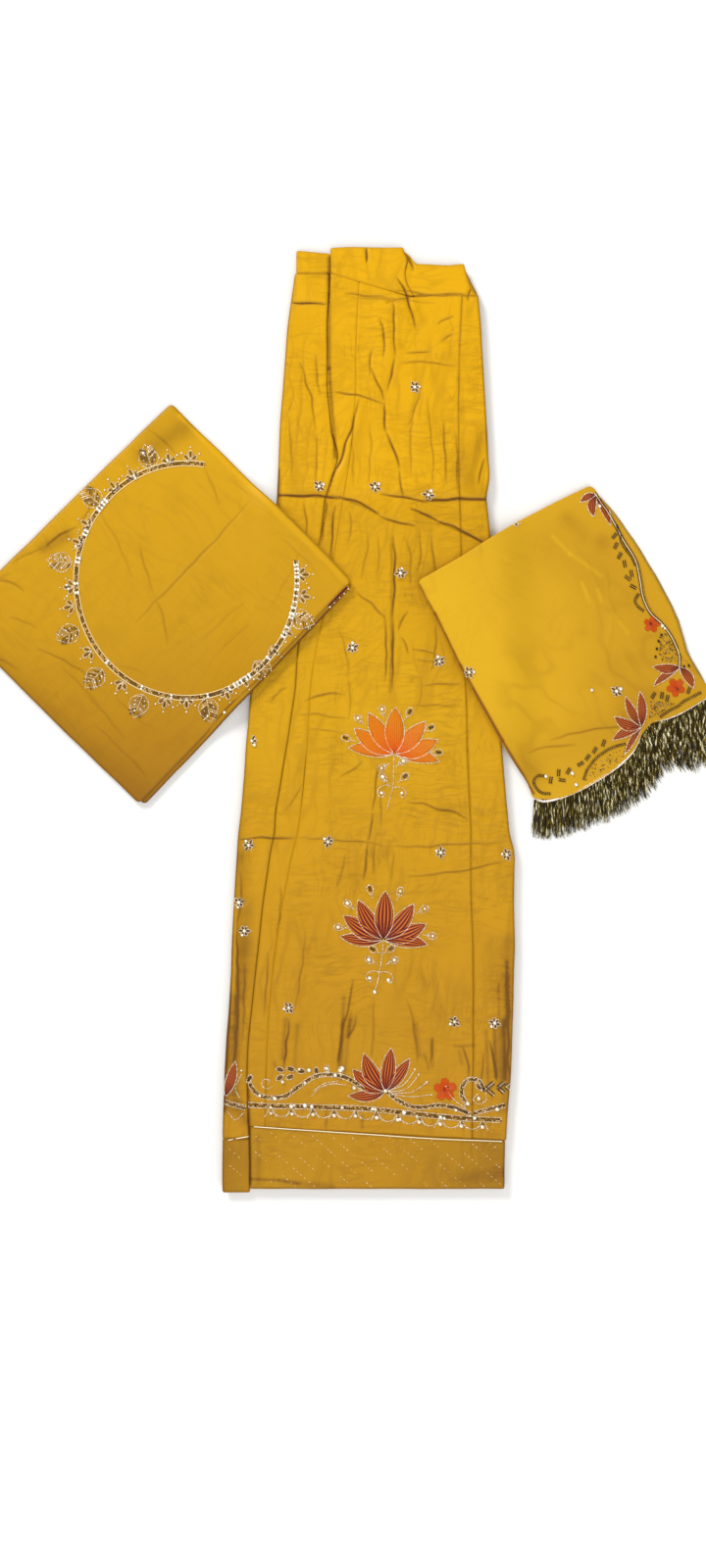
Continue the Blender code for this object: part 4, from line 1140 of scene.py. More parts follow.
def made_real(tree, given, grown_geometry):
    """Real geometry from instances, each with a random value of its own, its glint."""
    glint = drawn_between(tree, given["Dull"], given["Bright"], given["Seed"], 2)
    links = {"Geometry": grown_geometry, "Value": glint}
    kept = wired(tree, "GeometryNodeStoreNamedAttribute", links, domain="INSTANCE", Name="glint")
    return wired(tree, "GeometryNodeRealizeInstances", {0: kept.outputs[0]}).outputs[0]


def close_tree(tree, given, out, geometry):
    """Give the geometry its finish, and put it out."""
    links = {0: geometry, "Material": given["Material"]}
    tree.links.new(wired(tree, "GeometryNodeSetMaterial", links).outputs[0], out[0])


def shaded_smooth(tree, geometry):
    return wired(tree, "GeometryNodeSetShadeSmooth", {0: geometry}).outputs[0]


# %% Beads in a row
def build_bead_tree():
    """Long round beads, threaded along each line at a pitch."""
    sizes = (("Pitch", VALUE, 1.4 * MM), ("Long", VALUE, 1.3 * MM), ("Wide", VALUE, 1.2 * MM))
    tree, given, out = new_tree("beads in a row", sizes + (("Uneven", VALUE, 0.12),))
    spaced = pitched_curve(tree, given)
    bead = wired(tree, "GeometryNodeMeshIcoSphere", Radius=0.5, Subdivisions=1)
    tangent = wired(tree, "GeometryNodeInputTangent").outputs[0]
    facing = wired(tree, "FunctionNodeAlignRotationToVector", {"Vector": tangent}, axis="X").outputs[0]
    shape = wired(tree, "ShaderNodeCombineXYZ", {0: given["Long"], 1: given["Wide"], 2: given["Wide"]})
    smallest = maths(tree, "SUBTRACT", 1.0, given["Uneven"])
    largest = maths(tree, "ADD", 1.0, given["Uneven"])
    links = {0: shape.outputs[0], "Scale": drawn_between(tree, smallest, largest, given["Seed"], 1)}
    size = wired(tree, "ShaderNodeVectorMath", links, operation="SCALE").outputs[0]
    strung = placed(tree, spaced, bead, facing, size)
    close_tree(tree, given, out, shaded_smooth(tree, made_real(tree, given, strung)))
    return tree


# %% Cupped sequins on single points
def build_sequin_tree():
    """Cupped discs that lie a little tilted, each its own way, so that some of them catch the light."""
    tree, given, out = new_tree("cupped sequins", (("Wide", VALUE, 2.4 * MM), ("Tilt", VALUE, 0.2)))
    disc = wired(tree, "GeometryNodeMeshCone", Vertices=9, Radius_Top=0.22, Radius_Bottom=0.5, Depth=0.16)
    tilt = two_drawn(tree, given, "Tilt")
    size = maths(tree, "MULTIPLY", given["Wide"], drawn_between(tree, 0.8, 1.25, given["Seed"], 5))
    sewn = placed(tree, given["Lines"], disc, tilt, size)
    close_tree(tree, given, out, shaded_smooth(tree, made_real(tree, given, sewn)))
    return tree


# %% Cords, and bugle beads, which are short thick cords
def build_cord_tree():
    """A round tube along each line, closed at both ends."""
    sizes = (("Pitch", VALUE, 2.0 * MM), ("Wide", VALUE, 0.8 * MM), ("Sides", COUNT, 5))
    tree, given, out = new_tree("couched cord", sizes)
    number = wired(tree, "GeometryNodeInputIndex").outputs[0]
    links = {0: pitched_curve(tree, given), "Group ID": number}
    split = wired(tree, "GeometryNodeSplitToInstances", links, domain="CURVE")
    links = {"Resolution": given["Sides"], "Radius": maths(tree, "MULTIPLY", given["Wide"], 0.5)}
    profile = wired(tree, "GeometryNodeCurvePrimitiveCircle", links)
    links = {"Curve": split.outputs[0], "Profile Curve": profile.outputs[0]}
    tube = wired(tree, "GeometryNodeCurveToMesh", links, Fill_Caps=True)
    close_tree(tree, given, out, shaded_smooth(tree, made_real(tree, given, tube.outputs[0])))
    return tree


bead_tree, sequin_tree, cord_tree = build_bead_tree(), build_sequin_tree(), build_cord_tree()


def grown(name, source, tree, **values):
    """The plain mesh that a tree grows on a source mesh, as a finished piece."""
    pieces[name] = piece = linked(name, source)
    modifier = piece.modifiers.new(tree.name, "NODES")
    modifier.node_group = tree
    for socket in tree.interface.items_tree:
        if socket.in_out == "INPUT" and socket.name in values:
            modifier[socket.identifier] = values[socket.name]
    evaluated = piece.evaluated_get(bpy.context.evaluated_depsgraph_get())
    data = bpy.data.meshes.new_from_object(evaluated)
    piece.modifiers.clear()
    piece.data = data
    print(f"{name}: {len(data.polygons)} faces")


# %% [markdown]
# Metal thread and beads have no one colour: each bead has a value of its own, "glint", and the finish runs
# from dark antique brass through warm gold to near white, partly pale beads and partly a painted highlight
# where beads and sequins sparkle. The beads are metal, so what they mirror of the pale room does the rest.
# Silk petals are filled with long stitches, which show as fine stripes along them.

# %% Finishes for beads, cord and silk
Metal = namedtuple("Metal", "name metallic roughness colours")
# The bead colours' near-white end is partly pale beads and partly painted highlight.
BEAD_TONES_AND_GLINTS = ((46, 28, 14), (92, 62, 34), (214, 178, 116), (255, 252, 236))
THREAD_TONES = ((204, 150, 60), (236, 190, 104), (250, 220, 150), (255, 244, 210))
BRAID_TONES = ((170, 130, 112), (238, 216, 198), (255, 246, 236), (255, 254, 252))
METALS = (
    Metal("gold beads", 0.3, 0.26, BEAD_TONES_AND_GLINTS),
    Metal("couched gold thread", 0.2, 0.42, THREAD_TONES),
    Metal("silver braid thread", 0.1, 0.4, BRAID_TONES),
)
STOPS = (0.0, 0.38, 0.62, 1.0)


def make_metal(metal):
    material, tree, shader = new_material(metal.name)
    glint = wired(tree, "ShaderNodeAttribute", attribute_name="glint").outputs["Fac"]
    colour = add_ramp(tree, glint, list(zip(STOPS, metal.colours)))
    fine = noise_at(tree, wired(tree, "ShaderNodeTexCoord").outputs["Object"], 1400.0, 1.0)
    looks = {"Metallic": metal.metallic, "Roughness": metal.roughness}
    finish_shader(tree, shader, colour, fine, 0.25, 0.0003, **looks)
    return material


Silk = namedtuple("Silk", "name root tip stripe stripes")
SILKS = (
    Silk("orange silk", (222, 80, 2), (232, 136, 4), (206, 116, 4), 8.0),
    Silk("red silk", (94, 6, 12), (126, 36, 4), (214, 118, 38), 4.5),
    Silk("bright orange silk", (206, 66, 4), (226, 104, 8), (176, 50, 4), 7.0),
)


def make_silk(silk):
    """Colour runs from a petal's root to its tip by U, and its stitches are stripes across V."""
    material, tree, shader = new_material(silk.name)
    axes = wired(tree, "ShaderNodeSeparateXYZ", {0: wired(tree, "ShaderNodeTexCoord").outputs["UV"]})
    along, across = axes.outputs["X"], axes.outputs["Y"]
    tones = {"A": linear(*silk.root), "B": linear(*silk.tip)}
    ground = wired(tree, "ShaderNodeMix", {"Factor": along}, data_type="RGBA", **tones)
    wave = maths(tree, "SINE", maths(tree, "MULTIPLY", across, silk.stripes * math.tau), 0.0)
    wave = maths(tree, "MULTIPLY", maths(tree, "SUBTRACT", wave, 0.22), 1.6)
    grow = maths(tree, "MINIMUM", maths(tree, "MULTIPLY", along, 2.2), 1.0)
    share = wired(tree, "ShaderNodeClamp", {"Value": maths(tree, "MULTIPLY", wave, grow)})
    links = {"Factor": share.outputs[0], "A": ground.outputs["Result"]}
    striped = wired(tree, "ShaderNodeMix", links, data_type="RGBA", B=linear(*silk.stripe))
    looks = {"Roughness": 0.55, "Specular_IOR_Level": 0.25}
    finish_shader(tree, shader, striped.outputs["Result"], wave, 0.5, 0.0005, **looks)
    return material


materials.update({metal.name: make_metal(metal) for metal in METALS})
materials.update({silk.name: make_silk(silk) for silk in SILKS})
print("finishes:", list(materials))

# %% [markdown]
# Motifs are charted in their own small frame, with X running out from where they grow, and are then turned
# and placed by a table. A drop is a beaded outline with bars or a star in it, a sprig is three small petals
# with three dots, and a leaf has rows of bugle beads set like a fishbone.

# %% Charting motifs
class Work:
    """What is sewn on one garment: lines and points for each kind of work."""

    def __init__(self):
        self.pale, self.dark, self.cords, self.bugles, self.bars = [], [], [], [], []
        self.deep, self.sequins, self.dots, self.stars = [], [], [], []


def turned(points, at, heading):
    """Points of a motif, turned to a heading in degrees and moved to a place."""
    way = (math.cos(math.radians(heading)), math.sin(math.radians(heading)))
    return [(at[0] + way[0] * x - way[1] * y, at[1] + way[1] * x + way[0] * y) for x, y in points]


def heading_to(start, end):
    return math.degrees(math.atan2(end[1] - start[1], end[0] - start[0]))


def flowing(points, spacing=1.2):
    """A smooth open line through a few charted places, with its last place."""
    return [tuple(place) for place in smooth_line(points, spacing)] + [tuple(points[-1])]


def leaf_outline(long, wide, widest=0.6, count=9):
    """A closed leaf from its root at (0, 0) to its tip at (long, 0)."""
    sharp = (1 - widest) / widest * 0.9
    most = widest**0.9 * (1 - widest) ** sharp
    shares = [i / count for i in range(count + 1)]
    side = [(long * s, wide / 2 * s**0.9 * (1 - s) ** sharp / most) for s in shares]
    return side + [(x, -y) for x, y in side[-2::-1]]


def add_drop(work, at, heading, bright, long=11.6, wide=7.2):
    """A beaded drop that hangs off a stalk: its root is at the place given."""
    work.pale.append(turned(leaf_outline(long, wide, 0.6, 9), at, heading))
    if bright:
        work.stars.append(turned([(0.6 * long, 0)], at, heading))
        work.dots.append(turned([(0.25 * long, 0)], at, heading))
    else:
        for side in (-1, 1):
            work.bars.append(turned([(0.36 * long, 0.9 * side), (0.82 * long, 0.6 * side)], at, heading))


def add_sprig(work, at, heading):
    """Three small petals and three dots, as on the neckline."""
    for turn, reach in ((-50, 9.4), (0, 11.8), (50, 9.4)):
        petal = leaf_outline(reach, 5.0, 0.6, 7)
        work.pale.append(turned(petal, at, heading + turn))
        work.bars.append(turned([(0.36 * reach, 0), (0.82 * reach, 0)], at, heading + turn))
        work.dots.append(turned([(reach + 3.2, 0)], at, heading + turn))


def add_leaf(work, at, heading, long=27.5, wide=21.5):
    """A beaded leaf with bugle beads set like a fishbone."""
    work.pale.append(turned(leaf_outline(long, wide, 0.4, 16), at, heading))
    work.pale.append(turned([(2 * k, 0) for k in range(10)], at, heading))
    for share in (0.08, 0.17, 0.26, 0.35, 0.44, 0.53, 0.62, 0.71, 0.79):
        reach = 0.76 * wide * (0.3 + math.sin(math.pi * share**0.85)) / 2.7
        for side in (-1, 1):
            root = (share * long, side * 1.1)
            tip = (share * long + 0.6 * reach, side * (1.1 + reach))
            work.bugles.append(turned([root, tip], at, heading))
    for share, side in ((0.22, 0.2), (0.31, -0.24), (0.4, 0.28), (0.49, -0.22), (0.58, 0.16), (0.7, -0.1)):
        work.dots.append(turned([(share * long, side * wide)], at, heading))


def offset_line(line, aside):
    """A line moved sideways, to its left where the amount is positive."""
    ways = ways_of(np.array(line, float))
    return [(x - aside * way[1], y + aside * way[0]) for (x, y), way in zip(line, ways)]


def add_bars(work, at, heading, start, end, aside):
    """Two bars side by side, from one reach to another along a heading."""
    work.bars += [turned([(start, side), (end, side)], at, heading) for side in (-aside, aside)]


def add_band(work, line, wide=5.2):
    """Two rows of dark beads between two rows of small pale ones."""
    work.pale += [offset_line(line, aside) for aside in (-wide / 2, wide / 2)]
    work.dark += [offset_line(line, aside) for aside in (-wide / 6, wide / 6)]


works = {garment: Work() for garment in ("skirt", "blouse", "veil")}

# %% The neckline on the blouse piece
NECK_CENTRE = (-162.0, 151.0)
NECK_RADII = (119.8, 127.0)
NECK_ENDS = (81, 369)
NECK_GLINTS = (
    118, 137, 139, 141, 143, 155, 157, 169, 171, 181.5, 186, 224, 246, 262, 281, 293, 296, 298, 300, 303,
    305, 318, 331, 333, 336, 341, 343, 346, 349, 352, 355, 358, 361, 363, 365, 367,
)
SPRIGS = (
    (-157.9, 289.9), (-182.3, 286.7), (-223.7, 269.8), (-243.8, 256), (-274.5, 214.7), (-284.1, 194),
    (-293.6, 143.6), (-293.6, 121.4), (-272.4, 69.4), (-235.9, 33.4), (-186.6, 14.3), (-162.2, 14.3),
    (-116.6, 23.9), (-96.5, 37.6), (-63.6, 71.5), (-48.8, 91.7), (-29.7, 132), (-30.7, 156.3),
)
NECK_STARS = ((-209, 289), (-183, 281), (-282, 188), (-290, 142), (-292, 146), (-121, 8), (-62, 36))
NECK_LEAVES = (
    (-203.5, 284.6), (-265, 241.2), (-298.9, 171.2), (-290.4, 92.8), (-261.8, 45.1), (-214.1, 15.4),
    (-138.3, 11.1), (-79.5, 52.5), (-37.1, 107.6),
)


def neck_place(angle, aside=0.0):
    """A place on the ring of the neckline, or a little outside or inside of it."""
    turn = math.radians(angle)
    return (
        NECK_CENTRE[0] + (NECK_RADII[0] + aside) * math.cos(turn),
        NECK_CENTRE[1] + (NECK_RADII[1] + aside) * math.sin(turn),
    )


blouse = works["blouse"]
neck_line = [neck_place(angle) for angle in np.arange(NECK_ENDS[0], NECK_ENDS[1] + 0.1, 0.8)]
blouse.dark += [offset_line(neck_line, aside) for aside in (-1.0, 0.8)]
blouse.cords += [offset_line(neck_line, aside) for aside in (-2.7, 2.5)]
blouse.sequins += [[neck_place(angle, aside)] for angle in NECK_GLINTS for aside in (-1.6, 1.4)]
blouse.sequins += [[place] for place in NECK_STARS]
for place in SPRIGS:
    heading = heading_to(NECK_CENTRE, place)
    add_sprig(blouse, turned([(-9.4, 0)], place, heading)[0], heading)
for place in NECK_LEAVES:
    heading = heading_to(NECK_CENTRE, place)
    add_leaf(blouse, turned([(-13, 0)], place, heading)[0], heading)
blouse.dots += [[place] for place in ((13, 141), (8.6, 136), (3.6, 131.5), (-2, 126), (-7, 121.5))]
print("blouse:", len(blouse.pale), "bead lines,", len(blouse.bugles), "bugle beads")

# %% The border over the skirt's hem
BAND = (
    (-94.5, -416.4), (-81.6, -417.1), (-24.4, -418.7), (33.9, -420.8), (89, -426.7), (134.6, -430.9),
    (178.1, -433),
)
BAND_UNDER = ((-119.8, -413.9), (-109.2, -417.1), (-98.6, -419.8))
VINES = (
    (
        (-94.9, -390.6), (-89, -401.2), (-81.6, -406.5), (-68.9, -408.6), (-57.2, -407.6), (-42.4, -398),
        (-21.2, -385.3), (-1.1, -384.2), (15.9, -389.6), (28.6, -399.1),
    ),
    (
        (56.2, -403.3), (65.7, -410.8), (80.6, -418.2), (94.3, -419.2), (108.1, -417.1), (126.1, -419.2),
        (145.2, -426.7),
    ),
    ((149.5, -425.6), (166.4, -420.8), (181.3, -417.1)),
    ((160.1, -401.2), (154, -390.6), (143.1, -389.2), (136.7, -395.3), (135.7, -406.2), (141.8, -417.1)),
)
PALE_ARCS = (
    ((-26.5, -406.5), (-19.1, -399.1), (-5.3, -393.8), (9.5, -394.9)),
    ((-24.4, -401.2), (-13.8, -393.8), (1.1, -390.6)),
    ((56.2, -401.2), (72.1, -394.9), (84.8, -379)),
    ((57.2, -402.3), (75.3, -399.1), (89, -384.2)),
    ((58.3, -403.3), (81.6, -402.3), (97.5, -392.7)),
    ((59.4, -404.4), (79.5, -407.6), (102.8, -405.5)),
    ((119.8, -402.3), (127.2, -410.8), (139.9, -420.3)),
    ((161.1, -402.3), (161.7, -411.8), (153.7, -415.5), (147.9, -409.7), (152.6, -405.5)),
    ((-70, -397), (-75.3, -399.1), (-80.6, -394.9), (-78.4, -389), (-72.1, -390.6), (-74.2, -394.3)),
    ((-104.9, -408.6), (-109.2, -400.2), (-106, -390.6), (-102.8, -384.2)),
    ((-117.7, -423.5), (-109.2, -433), (-100.7, -425.6)),
)
STALKED = (
    ((-21.2, -385.3), (-22.3, -372.6), 0), ((-10.6, -383.2), (-10.6, -370.5), 1),
    ((4.2, -385.3), (4.2, -375.8), 1), ((-96.5, -392.7), (-91.2, -383.2), 0),
    ((150.5, -392.7), (154.8, -398), 0),
)
VEES = ((162.0, -399.1, 10.6), (174.7, -397.9, 8.6), (183.6, -397.0, 4.6))
BAND_GLINTS = (
    (-48.8, -418.2), (-45.6, -417.1), (-33.9, -417.1), (-26.5, -418.2), (-71, -419.2), (6.4, -419.2),
    (20.1, -427.7), (-66.8, -409.7), (-82.7, -406.5), (-33.9, -392.7), (-1.1, -384.2), (6.4, -376.8),
    (19.1, -398), (39.2, -420.8), (42.4, -421.4), (68.9, -432), (73.1, -424.5), (86.9, -428.8),
    (112.4, -429.8), (116.6, -430.9), (129.3, -422.4), (149.5, -430.9), (173.8, -421.4), (142, -415),
    (-40.3, -377.9), (-58.3, -391.7), (-29.7, -379), (153.7, -409.7),
)
TENDRIL_ENDS = ((84.8, -377.9), (89, -383.2), (97.5, -391.7), (-102.8, -379.5), (102.8, -405.5))
skirt = works["skirt"]
add_band(skirt, flowing(BAND))
add_band(skirt, flowing(BAND_UNDER), 4.6)
for vine in VINES:
    add_band(skirt, flowing(vine), 4.4)
skirt.pale += [flowing(arc) for arc in PALE_ARCS]
skirt.stars += [[place] for place in BAND_GLINTS]
skirt.dots += [[place] for place in TENDRIL_ENDS]
for root, tip, bright in STALKED:
    add_drop(skirt, root, heading_to(root, tip), bright, 10.0, 5.0)
for x, y, arm in VEES:
    for turn in (-40, 40):
        skirt.pale.append(turned([(-arm, 0), (0, 0)], (x, y), 180 + turn))
        add_bars(skirt, (x, y), 180 + turn, -arm, 0.6, 1.6)
LEAF_CLUSTER = (
    ((-57.2, -384.2), 215), ((-56.2, -380), 160), ((-45.6, -384.2), 205), ((-44.5, -379), 165),
    ((-32.9, -380), 180),
)
for place, heading in LEAF_CLUSTER:
    skirt.pale.append(turned(leaf_outline(10.0, 5.4, 0.5, 7), place, heading))
    add_bars(skirt, place, heading, 1.8, 8.0, 1.0)

# %% Festoons below the bead band
FESTOONS = 10
FESTOON = 22.9
FIRST_TAB = BAND[1][0] + 10.6
BELOW_BAND = 2.6
TAB = 4.6


def band_height(x):
    """The bead band's height across the skirt, read from its charted places."""
    across = [place[0] for place in BAND]
    return float(np.interp(x, across, [place[1] for place in BAND]))


for k in range(FESTOONS + 1):
    x = FIRST_TAB + FESTOON * k
    y = band_height(x) - BELOW_BAND
    skirt.bugles += [[(x + aside, y - 0.4), (x + aside, y - TAB)] for aside in (-1.1, 1.1)]
    skirt.stars.append([(x, y - TAB - 1.2)])
    skirt.pale += [[(x + 6.2 * side, y - TAB - 4.4), (x + 1.6 * side, y - 0.8)] for side in (-1, 1)]
    if k < FESTOONS:
        after = band_height(x + FESTOON) - BELOW_BAND - TAB
        sag = (x + FESTOON / 2, (y - TAB + after) / 2 - 4.2)
        skirt.pale.append(flowing([(x + 1.8, y - TAB), sag, (x + FESTOON - 1.8, after)]))
print("skirt border:", len(skirt.pale), "bead lines,", len(skirt.bugles), "bugle beads")

# %% Lotuses: silk petals with beaded outlines
Petal = namedtuple("Petal", "root tip wide bend")
silk_petals = {silk.name: [] for silk in SILKS}
PETAL_DOME = 0.55
PETAL_LEVEL = 0.35
RIM = 1.14
PETAL_STEPS = 9
PETAL_SIDES = 6


def petal_place(petal, along, across):
    """A place on a petal: along runs from 0 at its root to 1, across from -1 to 1."""
    root, tip = np.array(petal.root), np.array(petal.tip)
    way = tip - root
    side = np.array((-way[1], way[0])) / np.linalg.norm(way)
    half = petal.wide / 2 * 3.36 * along**0.85 * (1 - along) ** 0.95
    return root + along * way + side * (petal.bend * 4 * along * (1 - along) + across * half)


def add_petal(work, silk, petal, level, above):
    """A silk petal, and its beaded outline where no petal that lies above it covers that."""
    silk_petals[silk].append((petal, level))
    shares = [i / 30 for i in range(1, 31)]
    rim = [petal_place(petal, s, RIM) for s in shares] + [petal_place(petal, s, -RIM) for s in shares[-2::-1]]
    covered = np.zeros(len(rim), bool)
    for higher in above:
        covered |= inside(np.array(rim), higher)
    work.pale += stretches(rim, ~covered)
    above.append(np.array(rim))


def add_petals(work, silk, rows, plump, fall):
    """The petals of a table, each a little lower than the one before it."""
    above = []
    for order, (root, tip, wide, bend) in enumerate(rows):
        add_petal(work, silk, Petal(root, tip, wide * plump, bend), PETAL_LEVEL - fall * order, above)


def from_root(root, *rows):
    """Rows of petals that grow from one root."""
    return [(root, *row) for row in rows]


LOTUS_GOLD = from_root(
    (62.9, -36.4), ((63.6, 13.8), 17.0, 0), ((34.5, 8), 15.5, 1.5), ((96.5, -1.6), 15.5, -1.5),
    ((19.1, -9), 15.5, 2.5), ((110.2, -21.7), 15.5, -2.5),
    ((12.7, -30.2), 13.0, -1.5), ((111.3, -45.1), 13.0, 2.5),
)
LOTUS_RED = from_root(
    (50.9, -237.3), ((53, -185), 17.0, 0), ((23.3, -194.5), 15.5, 3.0), ((83.7, -198.8), 15.5, -3.0),
    ((7.4, -211.5), 15.5, 2.5), ((97.5, -221), 15.5, -2.5),
    ((3.8, -234.3), 12.0, 2.0), ((98.6, -243.3), 13.0, 2.0),
)
LOTUS_BORDER = from_root(
    (53, -401.7), ((59.4, -354.6), 13.0, 0), ((79.5, -366.2), 11.5, -1.0),
    ((29.7, -360.9), 15.0, 4.0), ((17.5, -377.9), 14.0, 4.0), ((12.7, -406.5), 11.0, 2.5),
)
LOTUS_BORDER += from_root((-120.3, -407.6), ((-109.2, -369.4), 9.0, -1.0))
DROPS_GOLD = (
    ((19.1, -22.8), (8.5, -19.1), 0), ((29.7, -5.8), (19.1, 6.9), 1), ((51.9, 1.6), (47.7, 18.6), 1),
    ((74.2, 0.5), (82.7, 14.3), 0), ((93.3, -12.2), (110.2, -4.8), 0), ((100.7, -34.5), (116.6, -35.5), 0),
    ((57.2, -47.2), (49.3, -51.9), 1), ((64.7, -50.4), (71, -45.6), 1), ((56.2, -69.4), (45.6, -56.7), 1),
    ((66.8, -67.3), (79.5, -56.7), 0),
)
DROPS_RED = (
    ((11.7, -225.2), (-3.2, -223.7), 1), ((19.1, -205.1), (7.4, -194.5), 1),
    ((39.2, -192.4), (35, -178.6), 0), ((65.7, -194.5), (71, -180.7), 1),
    ((86.9, -209.4), (99.6, -201.9), 1), ((94.3, -232.7), (107.1, -234.3), 1),
    ((47.7, -252.8), (38.2, -247.5), 0), ((50.9, -252.8), (60.4, -246.5), 0),
    ((43.5, -264.5), (32.9, -258.1), 1), ((54.1, -264.5), (67.8, -257.1), 1),
)
STEMS = (
    ((62.5, -37.6), (61.8, -54.6), (61, -73.7), (58.3, -84.3), (55.1, -95.9)),
    ((50.9, -239), (49.3, -256), (46.6, -272.9), (44.5, -283.6), (41.3, -293.1)),
    ((61, -73.7), (55.1, -70.5), (47.7, -72.6), (44.5, -77.9), (47.2, -83.2), (51.9, -82.2), (50.9, -77.9)),
    ((61, -73.7), (66.8, -72.6), (73.1, -74.7), (75.3, -80), (72.1, -84.3), (68.9, -81.1)),
    ((46.6, -272.9), (40.3, -271.4), (33.9, -274), (32.3, -279.3), (36, -283.6), (39.2, -281.4)),
    ((46.6, -272.9), (53, -272.4), (59.4, -275.1), (61.5, -280.4), (58.3, -284.6), (54.6, -282.5)),
)
LOTUS_SEQUINS = ((48.8, -79), (71, -79), (36, -279.3), (56.2, -281.4), (53, -401.2), (41.3, -294.2))
for lotus, silk in ((LOTUS_GOLD, "orange silk"), (LOTUS_RED, "red silk"), (LOTUS_BORDER, "red silk")):
    add_petals(skirt, silk, lotus, 1.12, 0.04)
for root, tip, bright in DROPS_GOLD + DROPS_RED:
    way = heading_to(root, tip)
    skirt.pale.append([root, turned([(3.0, 0)], root, way)[0]])
    add_drop(skirt, turned([(3.0, 0)], root, way)[0], way, bright)
skirt.pale += [flowing(stem) for stem in STEMS]
skirt.sequins += [[place] for place in LOTUS_SEQUINS]


LOBES = 5
LOBE_FAN = ((-13, 0.95, 0.3), (13, 0.95, 0.3), (0, 1.0, 0.4))


def add_flower(silk, at, reach, first):
    """A flower of round lobes with notches between them, each lobe a fan of three petals."""
    for k in range(LOBES):
        for aside, share, level in LOBE_FAN:
            tip = turned([(share * reach, 0)], at, first + 360 * k / LOBES + aside)[0]
            silk_petals[silk].append((Petal(at, tip, 0.5 * reach, 0), level))


add_flower("bright orange silk", (117.7, -400.2), 13.5, 20)
skirt.dark.append(flowing([(123, -399.1), (118.7, -396.4), (116.1, -400.2), (117.7, -403.3)], 1.0))
print("petals:", {silk: len(found) for silk, found in silk_petals.items()})

# %% [markdown]
# The skirt's ground is strewn with small flowers of six bugle beads round a sequin. The hem band is held down
# by slanting rows of running stitch in gold thread, and a gold line covers its seam.

# %% Small flowers, and the stitches of the hem band
BUTTI_REACH = 5.8
SKIRT_BUTTIS = (
    (84.8, 359.9), (-18.6, 252.8), (41.9, 251.8), (99.6, 243.3), (69.4, 158.5), (17.5, 77.9),
    (111.3, 63.1), (-94.9, -135.8), (-9, -132), (113, -143.6), (184.4, -145.8), (-51.4, -311.6),
    (127.8, -326.6), (171.3, -328.1), (-99.5, -228.4), (-105.5, -197.7),
)
VEIL_BUTTIS = ((143.1, 50.9), (303.3, 31), (193.2, 214.5))


def add_butti(work, at, first, turns=range(6)):
    for k in turns:
        heading = first + 60 * k
        reach = BUTTI_REACH * (0.9 + 0.16 * ((7 * k) % 3))
        work.pale.append(turned(leaf_outline(reach, 3.6, 0.6, 4), at, heading))
        work.bars.append(turned([(2.2, 0), (reach - 0.8, 0)], at, heading))
    work.sequins.append([at])
    work.sequins.append(turned([(BUTTI_REACH - 0.6, 0.4)], at, first + 60 * turns[0]))


for k, place in enumerate(SKIRT_BUTTIS):
    add_butti(skirt, place, 17 * k)
add_butti(skirt, (-91.7, -22.8), -60, range(3))
veil = works["veil"]
for k, place in enumerate(VEIL_BUTTIS):
    add_butti(veil, place, 25 * k)

HEM_TOP = ((-89, -439.4), (-24.4, -443.8), (38.8, -447.9), (101.8, -452.1), (179.1, -455.3))
HEM_TOP_UNDER = ((-117, -454.2), (-106, -452.1), (-94.3, -450))
HEM_FOOT = -505.0
HEM_FOOT_UNDER = -509.0
STITCH_LANES = 20.4
LANE_RUN = 70
STITCH_SLOPE = -0.86


def stitched_lanes(top, foot, seed):
    """Slanting broken lines of running stitch between a seam and a hem."""
    draw = random.Random(seed)
    left, right = top[0][0] + 1.5, top[-1][0] - 2
    across = [place[0] for place in top]
    up = [place[1] for place in top]
    lines = []
    for start in np.arange(left - LANE_RUN, right, STITCH_LANES):
        x = start + draw.uniform(-1.5, 12)
        while x < min(right, start + LANE_RUN):
            end = x + draw.uniform(5, 20)
            line = [(a, up[0] - 3 + STITCH_SLOPE * (a - start)) for a in np.arange(x, end, 1.0)]
            line = [(a, b) for a, b in line if left < a < right and foot < b < np.interp(a, across, up) - 3]
            if len(line) > 3:
                lines.append(line)
            x = end + draw.uniform(3, 24)
    return lines


hem_stitches = stitched_lanes(HEM_TOP, HEM_FOOT, 4) + stitched_lanes(HEM_TOP_UNDER, HEM_FOOT_UNDER, 6)
hem_lines = [offset_line(flowing(line), -0.7) for line in (HEM_TOP, HEM_TOP_UNDER)]
print("hem:", len(hem_stitches), "runs of stitches")

# %% [markdown]
# The veil's two sewn edges meet at its lower right corner: a scalloped edge with a beaded cord, and the hem,
# whose silver braid carries the fringe. Half lotuses grow from both.

